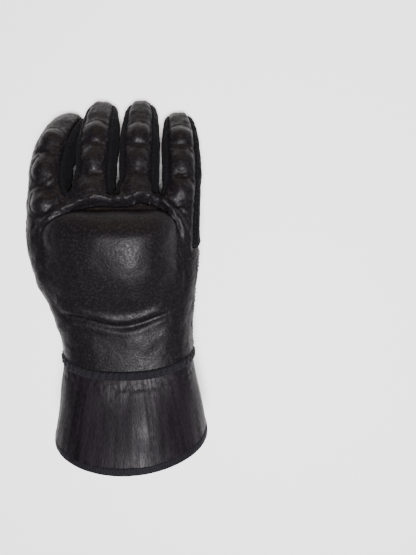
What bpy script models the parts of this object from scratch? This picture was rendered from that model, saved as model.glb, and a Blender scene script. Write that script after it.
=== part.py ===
"""Impact glove for the right hand, lying on its palm with its thumb tucked under.

The glove is cut from cloth panels that share one skin: a coarse cage of the hand is
smoothed once, each panel takes its own faces of it, and the panel's wall grows inwards.
Pads lie on the skin. +Y runs along the fingers, +X towards the little finger, +Z up.
The origin is the middle of the glove's outline on the surface that it lies on.
"""

import math

import bmesh
import bpy
from mathutils import Matrix, Vector
from mathutils.bvhtree import BVHTree

# Hand, in metres
PALM_LENGTH = 0.112
PALM_BREADTH = 0.110
PALM_DEPTH = 0.034
PALM_ARCH = 0.003
CLOTH_WALL = 0.002
SEAM_GAP = 0.0004

# Fingers
FINGER_BREADTH = 0.0255
FINGER_DEPTH = 0.0225
FINGER_PRESS = 0.0018
INDEX_LENGTH = 0.067
MIDDLE_LENGTH = 0.0715
RING_LENGTH = 0.0715
LITTLE_LENGTH = 0.065

# Thumb, which lies on the floor under the palm
THUMB_LENGTH = 0.070
THUMB_BREADTH = 0.025
THUMB_DEPTH = 0.0245
THUMB_CLEARANCE = 0.005

# Wrist binding and cuff
BINDING_WIDTH = 0.005
BINDING_WALL = 0.0035
CUFF_LENGTH = 0.0515
CUFF_WALL = 0.003
MOUTH_BREADTH = 0.104
MOUTH_DEPTH = 0.078
MOUTH_LEAN = 0.007
MOUTH_SQUARENESS = 2.04
FLAP_GAP = 0.020
TAPE_WIDTH = 0.005
TAPE_WALL = 0.0034
GUSSET_LENGTH = 0.042
GUSSET_LAP = 0.008
GUSSET_FOLD = 0.006

# Pads, all seated on the cloth with the same gap
PAD_SEAT_GAP = 0.0005
PAD_EDGE = 0.0008
PAD_REACH = 0.030
GUARD_LENGTH = 0.068
GUARD_BREADTH = 0.078
GUARD_HEIGHT = 0.013
FINGER_PAD_LENGTH = 0.0125
FINGER_PAD_BREADTH = 0.0130
FINGER_PAD_HEIGHT = 0.0026
THUMB_PAD_LENGTH = 0.014
THUMB_PAD_BREADTH = 0.011
THUMB_PAD_HEIGHT = 0.0024
HEEL_PAD_LENGTH = 0.030
HEEL_PAD_BREADTH = 0.036
SIDE_PAD_LENGTH = 0.034
SIDE_PAD_BREADTH = 0.019
HEEL_PAD_HEIGHT = 0.0035
HEEL_PATCH_LENGTH = 0.022
HEEL_PATCH_BREADTH = 0.028
HEEL_PATCH_HEIGHT = 0.0012

# Smoothing pulls a ring of eight inside its cage by this share
RING_SWELL = 1.085
SMOOTH_LEVEL = 1
FINGER_PITCH_AT_ROOT = 14.0
TIP_STEPS = 40

PANELS = (
    "back_panel",
    "palm_panel",
    "grip_panel",
    "gusset_index_middle",
    "gusset_middle_ring",
    "gusset_ring_little",
    "thumb_back",
    "thumb_front",
)

# Along the palm from the wrist; edges left and right of the axis, as shares of the breadth;
# depth as a share of the palm's; underside as a share of the thumb's height and clearance;
# roll, the fall towards the little finger, slant, how far that side lags, as shares
# of the breadth, and lean, how far the middle of the back and of the underside lags,
# as a share of half the depth.
BODY_COLUMNS = ("along", "left", "right", "depth", "under", "roll", "slant", "lean")
BODY_ROWS = (
    (0.10, -0.386, 0.410, 1.40, 0.44, 0.01, 0.00, 0.25),
    (0.22, -0.392, 0.406, 1.28, 0.56, 0.02, 0.00, 0.12),
    (0.38, -0.434, 0.420, 1.12, 0.78, 0.04, 0.00, 0.04),
    (0.56, -0.508, 0.440, 1.05, 0.95, 0.06, 0.02, 0.00),
    (0.80, -0.532, 0.458, 1.03, 0.98, 0.08, 0.12, 0.00),
    (1.00, -0.520, 0.463, 0.95, 0.80, 0.07, 0.03, 0.00),
)

# Name, share of the palm's breadth, breadth and depth as shares of the finger's,
# yaw at the root and at the tip towards the little finger, and roll, in degrees.
FINGER_COLUMNS = ("name", "share", "breadth", "depth", "root_yaw", "tip_yaw", "roll")
FINGER_ROWS = (
    ("index", 0.263, 1.03, 1.00, -3.0, 24.0, -4.0),
    ("middle", 0.243, 1.00, 1.03, 0.5, 0.5, 0.0),
    ("ring", 0.250, 1.00, 1.00, 0.0, -2.0, 2.0),
    ("little", 0.244, 0.99, 0.96, 1.0, -11.0, 6.0),
)
FINGER_LENGTHS = (INDEX_LENGTH, MIDDLE_LENGTH, RING_LENGTH, LITTLE_LENGTH)

# Rings of a finger: share of its length, breadth and depth as shares of the finger's.
FINGER_RINGS = (
    (0.11, 0.97, 1.00),
    (0.29, 0.96, 0.98),
    (0.48, 0.97, 0.98),
    (0.67, 0.91, 0.92),
    (0.85, 0.86, 0.83),
    (0.96, 0.64, 0.56),
)

# Rings of the thumb: along and aside as shares of its length, from the palm's left edge
# at the middle of its root; rise of its axis as a share of its depth; breadth and depth.
THUMB_RINGS = (
    (0.17, -0.020, 0.76, 1.12, 1.04),
    (0.34, 0.000, 0.60, 1.05, 1.00),
    (0.52, 0.045, 0.52, 1.00, 1.00),
    (0.69, 0.100, 0.49, 0.97, 0.98),
    (0.83, 0.155, 0.47, 0.90, 0.94),
    (0.92, 0.192, 0.44, 0.66, 0.70),
)
THUMB_TIP = (0.965, 0.210, 0.42)
THUMB_ROOT_ROWS = (1, 3)

# Finger pads, as shares of the finger's length.
FINGER_PAD_PLACES = {
    "index": (-0.10, 0.18, 0.46),
    "middle": (0.01, 0.27, 0.51),
    "ring": (0.02, 0.28, 0.52),
    "little": (0.04, 0.31, 0.57),
}

# Rings of the thumb that carry a pad, and how far a pad's face is turned from straight up.
THUMB_PAD_RINGS = (2, 4)
THUMB_PAD_TURN = -55.0

# Pads under the heel of the hand: along the palm and aside, as shares of its length and
# breadth, then length, breadth and height.
HEEL_COLUMNS = ("name", "along", "aside", "length", "breadth", "height")
HEEL_ROWS = (
    ("heel_pad_thumb", 0.27, -0.09, HEEL_PAD_LENGTH, HEEL_PAD_BREADTH, HEEL_PAD_HEIGHT),
    ("heel_pad_little", 0.30, 0.23, SIDE_PAD_LENGTH, SIDE_PAD_BREADTH, HEEL_PAD_HEIGHT),
    ("heel_patch", 0.53, -0.12, HEEL_PATCH_LENGTH, HEEL_PATCH_BREADTH, HEEL_PATCH_HEIGHT),
)


class Row:
    """One row of a table, whose values are read by the names of its columns."""

    def __init__(self, columns, values):
        for column, value in zip(columns, values):
            setattr(self, column, value)


def lerp(a, b, share):
    return a + (b - a) * share


def clear_scene():
    for obj in list(bpy.data.objects):
        bpy.data.objects.remove(obj, do_unlink=True)


def new_material(name, colour, roughness, metallic=0.0):
    material = bpy.data.materials.new(name)
    material.use_nodes = True
    shader = material.node_tree.nodes["Principled BSDF"]
    shader.inputs["Base Color"].default_value = (*colour, 1.0)
    shader.inputs["Roughness"].default_value = roughness
    shader.inputs["Metallic"].default_value = metallic
    return material


def object_from(name, shape, material, collection):
    """A smooth-shaded object made of a finished bmesh, which is freed."""
    bmesh.ops.recalc_face_normals(shape, faces=shape.faces[:])
    mesh = bpy.data.meshes.new(name)
    shape.to_mesh(mesh)
    shape.free()
    mesh.shade_smooth()
    mesh.set_sharp_from_angle(angle=math.radians(50))
    mesh.materials.clear()
    mesh.materials.append(material)
    obj = bpy.data.objects.new(name, mesh)
    collection.objects.link(obj)
    return obj


# The cage of the hand


def across_palm():
    """Where the nine cage lines of the back cross the palm, as shares of its breadth."""
    shares = [Row(FINGER_COLUMNS, values).share for values in FINGER_ROWS]
    corner = 0.14 * shares[0]
    places, edge = [corner], 0.0
    for share in shares:
        places += [edge + share / 2, edge + share]
        edge += share
    places[-1] = 1.0 - corner
    return places


def palm_ring(row):
    """The twenty cage points round the palm at one row: back, right, underside, left."""
    y_axis = PALM_LENGTH * row.along
    left, right = PALM_BREADTH * row.left, PALM_BREADTH * row.right
    depth = PALM_DEPTH * row.depth
    under = (THUMB_DEPTH + THUMB_CLEARANCE) * row.under

    def point(share, side):
        x = lerp(left, right, share)
        hump = (1 - abs(2 * share - 1) ** 2.6) ** 0.45
        fall = row.roll * (x - left)
        arch = PALM_ARCH * hump if side > 0 else 0.0
        z = under + depth / 2 - fall + side * hump * depth / 2 + arch
        y = y_axis - row.slant * PALM_BREADTH * share - row.lean * hump * hump * depth / 2
        return Vector((x, y, z))

    places = across_palm()
    back = [point(share, 1) for share in places]
    underside = [point(share, -1) for share in reversed(places)]
    return [*back, point(1.0, 0), *underside, point(0.0, 0)]


def frame_at(forward, roll, ahead=Vector((0, 1, 0))):
    """Right and up axes across a forward direction, rolled about it."""
    right = (ahead + forward).cross(Vector((0, 0, 1)))
    right = (right - forward * right.dot(forward)).normalized()
    up = right.cross(forward).normalized()
    turn = Matrix.Rotation(roll, 3, forward)
    return turn @ right, turn @ up


def tube_ring(centre, forward, roll, breadth, depth, first=135.0):
    """Eight cage points round a tube, clockwise seen from its root, from the angle given."""
    right, up = frame_at(forward, roll)
    points = []
    for corner in range(8):
        angle = math.radians(first - 45.0 * corner)
        across = RING_SWELL * math.cos(angle) * breadth / 2
        rise = RING_SWELL * math.sin(angle) * depth / 2
        points.append(centre + right * across + up * rise)
    return points


def direction(pitch, yaw):
    """Forward direction that dips by the pitch and turns to the right by the yaw."""
    return Vector(
        (math.sin(yaw) * math.cos(pitch), math.cos(yaw) * math.cos(pitch), -math.sin(pitch))
    )


def finger_line(start, finger, length, tip_pitch):
    """Points and directions along a finger's bent axis, and a lookup of both by share."""
    point, places = start.copy(), []
    for step in range(TIP_STEPS + 1):
        share = step / TIP_STEPS
        pitch = math.radians(lerp(FINGER_PITCH_AT_ROOT, tip_pitch, share))
        yaw = math.radians(lerp(finger.root_yaw, finger.tip_yaw, share))
        forward = direction(pitch, yaw)
        places.append((point.copy(), forward))
        point += forward * length / TIP_STEPS
    return places


def at_share(line, share):
    place = share * TIP_STEPS
    low = max(0, min(int(place), TIP_STEPS - 1))
    point = line[low][0].lerp(line[low + 1][0], place - low)
    forward = line[low][1].lerp(line[low + 1][1], place - low)
    return point, forward.normalized()


def lowest_of(line, depth):
    """The lowest point of a finger's rings on this axis."""
    lowest = math.inf
    for share, _, depth_share in FINGER_RINGS:
        point, forward = at_share(line, share)
        flat = math.hypot(forward.x, forward.y)
        lowest = min(lowest, point.z - flat * depth * depth_share / 2)
    return min(lowest, at_share(line, 1.0)[0].z)


def curled_line(start, finger, length):
    """The finger's axis, curled until its tip presses on the floor."""
    depth = FINGER_DEPTH * finger.depth
    low, high = 0.0, 90.0
    for _ in range(30):
        tip_pitch = (low + high) / 2
        line = finger_line(start, finger, length, tip_pitch)
        if lowest_of(line, depth) > -FINGER_PRESS:
            low = tip_pitch
        else:
            high = tip_pitch
    return line


class Cage:
    """The hand's cage in one bmesh, whose faces carry the number of their panel."""

    def __init__(self):
        self.mesh = bmesh.new()

    def points(self, places):
        return [self.mesh.verts.new(place) for place in places]

    def face(self, corners, panel):
        if panel is not None:
            self.mesh.faces.new(corners).material_index = PANELS.index(panel)

    def loft(self, near, far, panels):
        """Faces between two rings, each side in the panel named for it."""
        count = len(near)
        for side, panel in enumerate(panels):
            after = (side + 1) % count
            self.face((near[side], near[after], far[after], far[side]), panel)

    def tip(self, ring, place, panels):
        """Four faces from a ring of eight to its tip point."""
        centre = self.mesh.verts.new(place)
        for quarter, panel in enumerate(panels):
            corners = [ring[(2 * quarter + 1 + k) % 8] for k in range(3)]
            self.face((*corners, centre), panel)


def body_panels(row):
    """The panel of each of the twenty faces between this row of the palm and the next."""
    upper = row == len(BODY_ROWS) - 2
    thumb_low, thumb_high = THUMB_ROOT_ROWS
    beside_thumb = thumb_low <= row < thumb_high
    side = "palm_panel" if upper else "back_panel"
    under = "palm_panel" if upper else "grip_panel"
    if beside_thumb:
        root = None
    elif row >= thumb_high:
        root = "palm_panel"
    else:
        root = "grip_panel"
    return [*["back_panel"] * 8, side, under, *[under] * 7, root, root, "back_panel"]


def finger_panels(number):
    """The panels round a finger, clockwise from its left side seam's upper face."""
    last = len(FINGER_ROWS) - 1
    right = PANELS[3 + number] if number < last else "palm_panel"
    left_up = PANELS[2 + number] if number > 0 else "back_panel"
    left_low = PANELS[2 + number] if number > 0 else "palm_panel"
    return [
        "back_panel",
        "back_panel",
        right,
        right,
        "palm_panel",
        "palm_panel",
        left_low,
        left_up,
    ]


def add_fingers(cage, ring):
    """Four fingers on the palm's last ring. Returns each one's axis, by name."""
    webs = {}
    last = len(FINGER_ROWS) - 1
    for number in range(1, last + 1):
        top, bottom = ring[2 * number], ring[18 - 2 * number]
        webs[number] = cage.mesh.verts.new((top.co + bottom.co) / 2)
    webs[0], webs[last + 1] = ring[19], ring[9]
    lines = {}
    for number, values in enumerate(FINGER_ROWS):
        finger = Row(FINGER_COLUMNS, values)
        top, under = 2 * number, 18 - 2 * number
        near = [
            *ring[top : top + 3],
            webs[number + 1],
            ring[under - 2],
            ring[under - 1],
            ring[under],
            webs[number],
        ]
        start = (near[1].co + near[5].co) / 2
        length = FINGER_LENGTHS[number]
        line = curled_line(start, finger, length)
        lines[finger.name] = line
        panels = finger_panels(number)
        breadth, depth = FINGER_BREADTH * finger.breadth, FINGER_DEPTH * finger.depth
        for share, breadth_share, depth_share in FINGER_RINGS:
            centre, forward = at_share(line, share)
            far = cage.points(
                tube_ring(
                    centre,
                    forward,
                    math.radians(finger.roll),
                    breadth * breadth_share,
                    depth * depth_share,
                )
            )
            cage.loft(near, far, panels)
            near = far
        tips = ["back_panel", "palm_panel", "palm_panel", "back_panel"]
        cage.tip(near, at_share(line, 1.0)[0], tips)
    return lines


def thumb_point(root, along, aside, rise):
    return Vector(
        (
            root.x + aside * THUMB_LENGTH,
            root.y + along * THUMB_LENGTH,
            rise * THUMB_DEPTH,
        )
    )


def add_thumb(cage, rings):
    """The thumb, from the hole left for it in the palm's lower left edge."""
    low, high = THUMB_ROOT_ROWS
    middle = (low + high) // 2
    edge, corner, inner = 19, 18, 17
    near = [
        rings[low][edge],
        rings[middle][edge],
        rings[high][edge],
        rings[high][corner],
        rings[high][inner],
        rings[middle][inner],
        rings[low][inner],
        rings[low][corner],
    ]
    root = rings[middle][edge].co
    centres = [thumb_point(root, *values[:3]) for values in THUMB_RINGS]
    tip = thumb_point(root, *THUMB_TIP)
    panels = [
        *["thumb_back"] * 3,
        *["thumb_front"] * 4,
        "thumb_back",
    ]
    line = [root.lerp(centres[0], 0.5), *centres, tip]
    for number, values in enumerate(THUMB_RINGS):
        forward = (line[number + 2] - line[number]).normalized()
        breadth, depth = THUMB_BREADTH * values[3], THUMB_DEPTH * values[4]
        ring = tube_ring(centres[number], forward, 0.0, breadth, depth, 180.0)
        far = cage.points(ring)
        cage.loft(near, far, panels)
        near = far
    cage.tip(near, tip, ["thumb_back", "thumb_front", "thumb_front", "thumb_back"])
    return line


def hand_skin():
    """The smoothed skin of the whole hand as a bmesh, with the axes of its fingers."""
    cage = Cage()
    rings = []
    for values in BODY_ROWS:
        rings.append(cage.points(palm_ring(Row(BODY_COLUMNS, values))))
    low, high = THUMB_ROOT_ROWS
    for row in range(len(rings) - 1):
        cage.loft(rings[row], rings[row + 1], body_panels(row))
    lines = add_fingers(cage, rings[-1])
    thumb = add_thumb(cage, rings)
    cage.mesh.verts.remove(rings[(low + high) // 2][18])
    return smoothed(cage.mesh), lines, thumb


def smoothed(cage):
    """The cage under a Subdivision Surface, pressed flat where it meets the floor."""
    mesh = bpy.data.meshes.new("cage")
    cage.to_mesh(mesh)
    cage.free()
    for _ in PANELS:
        mesh.materials.append(None)
    obj = bpy.data.objects.new("cage", mesh)
    bpy.context.scene.collection.objects.link(obj)
    modifier = obj.modifiers.new("smooth", "SUBSURF")
    modifier.levels = modifier.render_levels = SMOOTH_LEVEL
    bpy.context.view_layer.update()
    graph = bpy.context.evaluated_depsgraph_get()
    skin = bmesh.new()
    skin.from_mesh(obj.evaluated_get(graph).to_mesh())
    bpy.data.objects.remove(obj, do_unlink=True)
    for vert in skin.verts:
        vert.co.z = max(vert.co.z, 0.0)
    bmesh.ops.recalc_face_normals(skin, faces=skin.faces[:])
    skin.normal_update()
    return skin


# Walls of the panels


def edge_pull(vert, border):
    """The direction in the surface that leads from a border vertex into its panel."""
    pull = Vector()
    for edge in vert.link_edges:
        if edge in border:
            face = edge.link_faces[0]
            run = (edge.verts[1].co - edge.verts[0].co).normalized()
            inwards = face.normal.cross(run)
            middle = (edge.verts[0].co + edge.verts[1].co) / 2
            if inwards.dot(face.calc_center_median() - middle) < 0:
                inwards.negate()
            pull += inwards
    return pull.normalized() if pull.length > 0 else pull


def panel_wall(skin, number, wall):
    """A panel of a skin as a closed wall, grown inwards and drawn back from its seams."""
    shape = skin.copy()
    normals = shape.verts.layers.float_vector.new("outwards")
    numbers = shape.verts.layers.int.new("number")
    shape.normal_update()
    for count, vert in enumerate(shape.verts):
        vert[normals] = vert.normal
        vert[numbers] = count
    others = [face for face in shape.faces if face.material_index != number]
    bmesh.ops.delete(shape, geom=others, context="FACES")
    shape.normal_update()
    border = {edge for edge in shape.edges if edge.is_boundary}
    rim = {vert for edge in border for vert in edge.verts}
    moves = {vert: edge_pull(vert, border) * SEAM_GAP / 2 for vert in rim}
    for vert, move in moves.items():
        vert.co += move
        vert.co.z = max(vert.co.z, 0.0)
    made = bmesh.ops.extrude_face_region(
        shape, geom=shape.faces[:], use_keep_orig=True
    )
    inner = {item for item in made["geom"] if isinstance(item, bmesh.types.BMVert)}
    for vert in inner:
        vert.co -= vert[normals] * wall
    edges = [face for face in shape.faces if 0 < len(inner.intersection(face.verts)) < 4]
    for face in edges:
        outer = min((vert for vert in face.verts if vert not in inner), key=lambda v: v[numbers])
        far = max(inner.intersection(face.verts), key=lambda v: v[numbers])
        bmesh.utils.face_split(face, outer, far)
    return shape


# Pads


def pad_on(surface, centre, forward, up, size, outline, profile, segments, rings):
    """A pillow seated on a surface: a sphere whose lower half follows the cloth under it.

    size is length, breadth and height; outline bends the unit disc into the pad's shape,
    and profile gives the share of its height over a place in that disc.
    """
    length, breadth, height = size
    forward = (forward - up * forward.dot(up)).normalized()
    side = forward.cross(up).normalized()
    shape = bmesh.new()
    bmesh.ops.create_uvsphere(shape, u_segments=segments, v_segments=rings, radius=1.0)
    for vert in shape.verts:
        across, along, level = vert.co
        across_plan, along_plan = outline(across, along)
        start = centre + side * across_plan * breadth / 2 + forward * along_plan * length / 2
        place = surface.ray_cast(start + up * PAD_REACH, -up, 2 * PAD_REACH)[0] or start
        rise = PAD_SEAT_GAP
        if level > -0.01:
            rise += PAD_EDGE / 2
        if level > 0.01:
            rise += PAD_EDGE / 2 + height * profile(across, along)
        vert.co = place + up * rise
    return shape


def round_outline(across, along):
    return across, along


def dome_profile(across, along):
    return math.sqrt(max(0.0, 1.0 - across**2 - along**2))


def guard_outline(across, along):
    """A shield: squared towards the fingers and drawn in towards the wrist."""
    radius = math.hypot(across, along)
    if radius < 1e-6:
        return 0.0, 0.0
    turn = math.atan2(along, across)
    square = (abs(math.cos(turn)) ** 3.2 + abs(math.sin(turn)) ** 3.2) ** (-1 / 3.2)
    waist = 1.0 - 0.42 * max(0.0, -along / radius) ** 1.5 * radius
    return across * square * waist, along * square


def guard_profile(across, along):
    """Steep towards the fingers, and falling gently towards the wrist."""
    radius = min(1.0, math.hypot(across, along))
    wall = (1.0 - radius**4) ** 0.6
    slope = lerp(0.30, 1.0, min(1.0, max(0.0, (along + 1.0) / 1.45)) ** 1.1)
    crest = 1.0 - 0.25 * abs(across) ** 2.0
    return wall * slope * crest


def kidney_outline(across, along):
    """An oval whose far side is hollowed towards the wrist."""
    return across, along - 0.22 * (1.0 - abs(across)) * max(0.0, along)


# Wrist binding and cuff


def wrist_loop(skin):
    """The skin's open edge at the wrist, as points in order round it."""
    edges = [edge for edge in skin.edges if edge.is_boundary]
    verts = {vert for edge in edges for vert in edge.verts}
    middle = sum((vert.co for vert in verts), Vector()) / len(verts)

    def turn(vert):
        return math.atan2(vert.co.z - middle.z, vert.co.x - middle.x)

    return [vert.co.copy() for vert in sorted(verts, key=turn)], middle


def loop_at(loop, middle, angle):
    """The point of a loop at an angle round its middle, in its own plane."""
    heading = Vector((math.cos(angle), 0.0, math.sin(angle)))
    count = len(loop)
    for number in range(count):
        a, b = loop[number] - middle, loop[(number + 1) % count] - middle
        cross_a = heading.x * a.z - heading.z * a.x
        cross_b = heading.x * b.z - heading.z * b.x
        if cross_a <= 0 <= cross_b and heading.dot(a + b) > 0:
            share = cross_a / (cross_a - cross_b) if cross_a != cross_b else 0.0
            return middle + a.lerp(b, share)
    return middle


def outwards_of(point, middle):
    return Vector((point.x - middle.x, 0.0, point.z - middle.z)).normalized()


def wrist_binding(loop, middle):
    """A rolled seam that closes the step between the hand and the cuff."""
    shape = bmesh.new()
    rings = []
    sides = 6
    start = -SEAM_GAP
    for place in loop:
        out = outwards_of(place, middle)
        ring = []
        for side in range(sides):
            angle = 2 * math.pi * side / sides
            along = start - BINDING_WIDTH / 2 + math.cos(angle) * BINDING_WIDTH / 2
            depth = (math.sin(angle) * 0.5 - 0.22) * BINDING_WALL
            ring.append(shape.verts.new(place + Vector((0, along, 0)) + out * depth))
        rings.append(ring)
    for number, ring in enumerate(rings):
        after = rings[(number + 1) % len(rings)]
        for side in range(sides):
            up = (side + 1) % sides
            shape.faces.new((ring[side], ring[up], after[up], after[side]))
    return shape


def cuff_place(loop, middle, angle, share, inset=0.0):
    """A point of the cuff's outer face, from the wrist at 0 to the mouth at 1."""
    near = loop_at(loop, middle, angle)
    drop = SEAM_GAP * 2 + BINDING_WIDTH
    centre = Vector((middle.x, middle.y - drop - CUFF_LENGTH, MOUTH_DEPTH / 2))
    heading = Vector((math.cos(angle), 0.0, math.sin(angle)))
    scale = (
        (abs(heading.x) * 2 / MOUTH_BREADTH) ** MOUTH_SQUARENESS
        + (abs(heading.z) * 2 / MOUTH_DEPTH) ** MOUTH_SQUARENESS
    ) ** (-1 / MOUTH_SQUARENESS)
    far = centre + heading * scale
    far.y -= MOUTH_LEAN * heading.z
    near = near + Vector((0, -drop, 0))
    place = near.lerp(far, share)
    out = outwards_of(place, Vector((middle.x, 0, lerp(middle.z, centre.z, share))))
    return place - out * inset


def flap_angle(loop, middle, share, gap):
    """How far round from straight down the flap's edge lies, to leave this gap."""
    below = cuff_place(loop, middle, -math.pi / 2, share)
    radius = middle.z * (1 - share) + MOUTH_DEPTH / 2 * share - below.z
    return math.asin(min(0.9, gap / 2 / radius))


def cuff_skin(loop, middle):
    """The cuff's outer face as a grid: the wrap is panel 0 and its edge tape panel 1."""
    across, along = 30, 5
    shape = bmesh.new()
    tape_along = TAPE_WIDTH / CUFF_LENGTH
    tape_across = TAPE_WIDTH / (MOUTH_BREADTH + MOUTH_DEPTH) / 1.5
    inner = [lerp(tape_across, 1 - tape_across, k / across) for k in range(across + 1)]
    columns = [0.0, *inner, 1.0]
    rows = [*[(1 - tape_along) * k / along for k in range(along + 1)], 1.0]
    grid = []
    for share in rows:
        turn = flap_angle(loop, middle, share, FLAP_GAP)
        start, end = -math.pi / 2 + turn, 1.5 * math.pi - turn
        grid.append(
            [
                shape.verts.new(cuff_place(loop, middle, lerp(start, end, column), share))
                for column in columns
            ]
        )
    for row in range(len(rows) - 1):
        for column in range(len(columns) - 1):
            corners = (
                grid[row][column],
                grid[row][column + 1],
                grid[row + 1][column + 1],
                grid[row + 1][column],
            )
            edge = row == along or column in (0, across + 1)
            shape.faces.new(corners).material_index = 1 if edge else 0
    shape.normal_update()
    outwards = sum(face.normal.dot(face.calc_center_median() - middle) for face in shape.faces)
    if outwards < 0:
        bmesh.ops.reverse_faces(shape, faces=shape.faces[:])
    return shape


def cuff_gusset(loop, middle):
    """The stretch piece between the flaps, lapped inside them and folded inwards."""
    shape = bmesh.new()
    across, along = 10, 5
    inset = TAPE_WALL + SEAM_GAP
    grid = []
    for row in range(along + 1):
        share = row / along * GUSSET_LENGTH / CUFF_LENGTH
        turn = flap_angle(loop, middle, share, FLAP_GAP + 2 * GUSSET_LAP)
        line = []
        for column in range(across + 1):
            place = 2 * column / across - 1
            fold = GUSSET_FOLD * math.cos(place * math.pi / 2) ** 2
            angle = -math.pi / 2 + turn * place
            line.append(shape.verts.new(cuff_place(loop, middle, angle, share, inset + fold)))
        grid.append(line)
    for row in range(along):
        for column in range(across):
            shape.faces.new(
                (
                    grid[row][column],
                    grid[row][column + 1],
                    grid[row + 1][column + 1],
                    grid[row + 1][column],
                )
            )
    shape.normal_update()
    if sum(face.normal.z for face in shape.faces) > 0:
        bmesh.ops.reverse_faces(shape, faces=shape.faces[:])
    return shape


# The glove


def build_hand(materials, collection):
    skin, fingers, thumb = hand_skin()
    looks = {"back_panel": "back_cloth", "thumb_back": "back_cloth"}
    looks.update({"palm_panel": "suede", "thumb_front": "suede", "grip_panel": "grip_net"})
    for number, name in enumerate(PANELS):
        shape = panel_wall(skin, number, CLOTH_WALL)
        look = materials[looks.get(name, "gusset_knit")]
        object_from(name, shape, look, collection)
    return skin, fingers, thumb


def build_pads(skin, fingers, thumb, materials, collection):
    surface = BVHTree.FromBMesh(skin)
    up = Vector((0, 0, 1))
    ahead = Vector((0, 1, 0))
    axis = PALM_BREADTH * (BODY_ROWS[-1][1] + BODY_ROWS[-1][2]) / 2
    seat = Vector((axis, PALM_LENGTH * 0.92 - GUARD_LENGTH / 2, PALM_DEPTH + THUMB_DEPTH))
    size = (GUARD_LENGTH, GUARD_BREADTH, GUARD_HEIGHT)
    guard = pad_on(surface, seat, ahead, up, size, guard_outline, guard_profile, 28, 12)
    object_from("knuckle_guard", guard, materials["guard_cloth"], collection)

    size = (FINGER_PAD_LENGTH, FINGER_PAD_BREADTH, FINGER_PAD_HEIGHT)
    for name, line in fingers.items():
        roll = next(values[6] for values in FINGER_ROWS if values[0] == name)
        for number, share in enumerate(FINGER_PAD_PLACES[name], 1):
            centre, forward = at_share(line, share)
            lift = frame_at(forward, math.radians(roll))[1]
            pad = pad_on(surface, centre, forward, lift, size, round_outline, dome_profile, 12, 6)
            object_from(f"{name}_pad_{number}", pad, materials["back_cloth"], collection)

    size = (THUMB_PAD_LENGTH, THUMB_PAD_BREADTH, THUMB_PAD_HEIGHT)
    for number, ring in enumerate(THUMB_PAD_RINGS, 1):
        forward = (thumb[ring + 2] - thumb[ring]).normalized()
        lift = frame_at(forward, math.radians(THUMB_PAD_TURN))[1]
        pad = pad_on(
            surface, thumb[ring + 1], forward, lift, size, round_outline, dome_profile, 12, 6
        )
        object_from(f"thumb_pad_{number}", pad, materials["back_cloth"], collection)

    for values in HEEL_ROWS:
        row = Row(HEEL_COLUMNS, values)
        centre = Vector((PALM_BREADTH * row.aside, PALM_LENGTH * row.along, PAD_REACH * 0.7))
        size = (row.length, row.breadth, row.height)
        outline = kidney_outline if row.name == "heel_pad_thumb" else round_outline
        pad = pad_on(surface, centre, ahead, -up, size, outline, dome_profile, 20, 8)
        object_from(row.name, pad, materials["pad_skin"], collection)


def build_cuff(skin, materials, collection):
    loop, middle = wrist_loop(skin)
    binding = wrist_binding(loop, middle)
    object_from("wrist_binding", binding, materials["binding_tape"], collection)
    skin_of_cuff = cuff_skin(loop, middle)
    wrap = panel_wall(skin_of_cuff, 0, CUFF_WALL)
    object_from("cuff", wrap, materials["cuff_cloth"], collection)
    tape = panel_wall(skin_of_cuff, 1, TAPE_WALL)
    object_from("cuff_binding", tape, materials["binding_tape"], collection)
    skin_of_cuff.free()
    gusset = panel_wall(cuff_gusset(loop, middle), 0, CLOTH_WALL)
    object_from("cuff_gusset", gusset, materials["gusset_knit"], collection)


def centre_on_floor(objects):
    """Moves every mesh so that the origin is under the middle of the whole outline."""
    corners = [vert.co for obj in objects for vert in obj.data.vertices]
    low_x, high_x = min(c.x for c in corners), max(c.x for c in corners)
    low_y, high_y = min(c.y for c in corners), max(c.y for c in corners)
    low_z = min(c.z for c in corners)
    shift = Matrix.Translation((-(low_x + high_x) / 2, -(low_y + high_y) / 2, -low_z))
    for obj in objects:
        obj.data.transform(shift)


def main():
    clear_scene()
    collection = bpy.data.collections.new("impact_glove")
    bpy.context.scene.collection.children.link(collection)
    materials = {
        "back_cloth": new_material("back_cloth", (0.035, 0.034, 0.037), 0.55),
        "guard_cloth": new_material("guard_cloth", (0.038, 0.036, 0.038), 0.50),
        "suede": new_material("suede", (0.030, 0.030, 0.034), 0.85),
        "grip_net": new_material("grip_net", (0.012, 0.012, 0.013), 0.40),
        "gusset_knit": new_material("gusset_knit", (0.020, 0.020, 0.023), 0.80),
        "pad_skin": new_material("pad_skin", (0.022, 0.022, 0.023), 0.50),
        "cuff_cloth": new_material("cuff_cloth", (0.040, 0.038, 0.040), 0.55),
        "binding_tape": new_material("binding_tape", (0.015, 0.015, 0.017), 0.70),
    }
    skin, fingers, thumb = build_hand(materials, collection)
    build_pads(skin, fingers, thumb, materials, collection)
    build_cuff(skin, materials, collection)
    skin.free()
    centre_on_floor(list(collection.objects))


main()
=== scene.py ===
"""Dresses the impact glove: padded back, finger gussets, suede palm, netted grip and cuff.

The hand's skin is made from the same cage as the solids, smoothed finely and raised into
pads, folds and seams. +Y runs along the fingers, +X towards the little finger, +Z up.
"""

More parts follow.
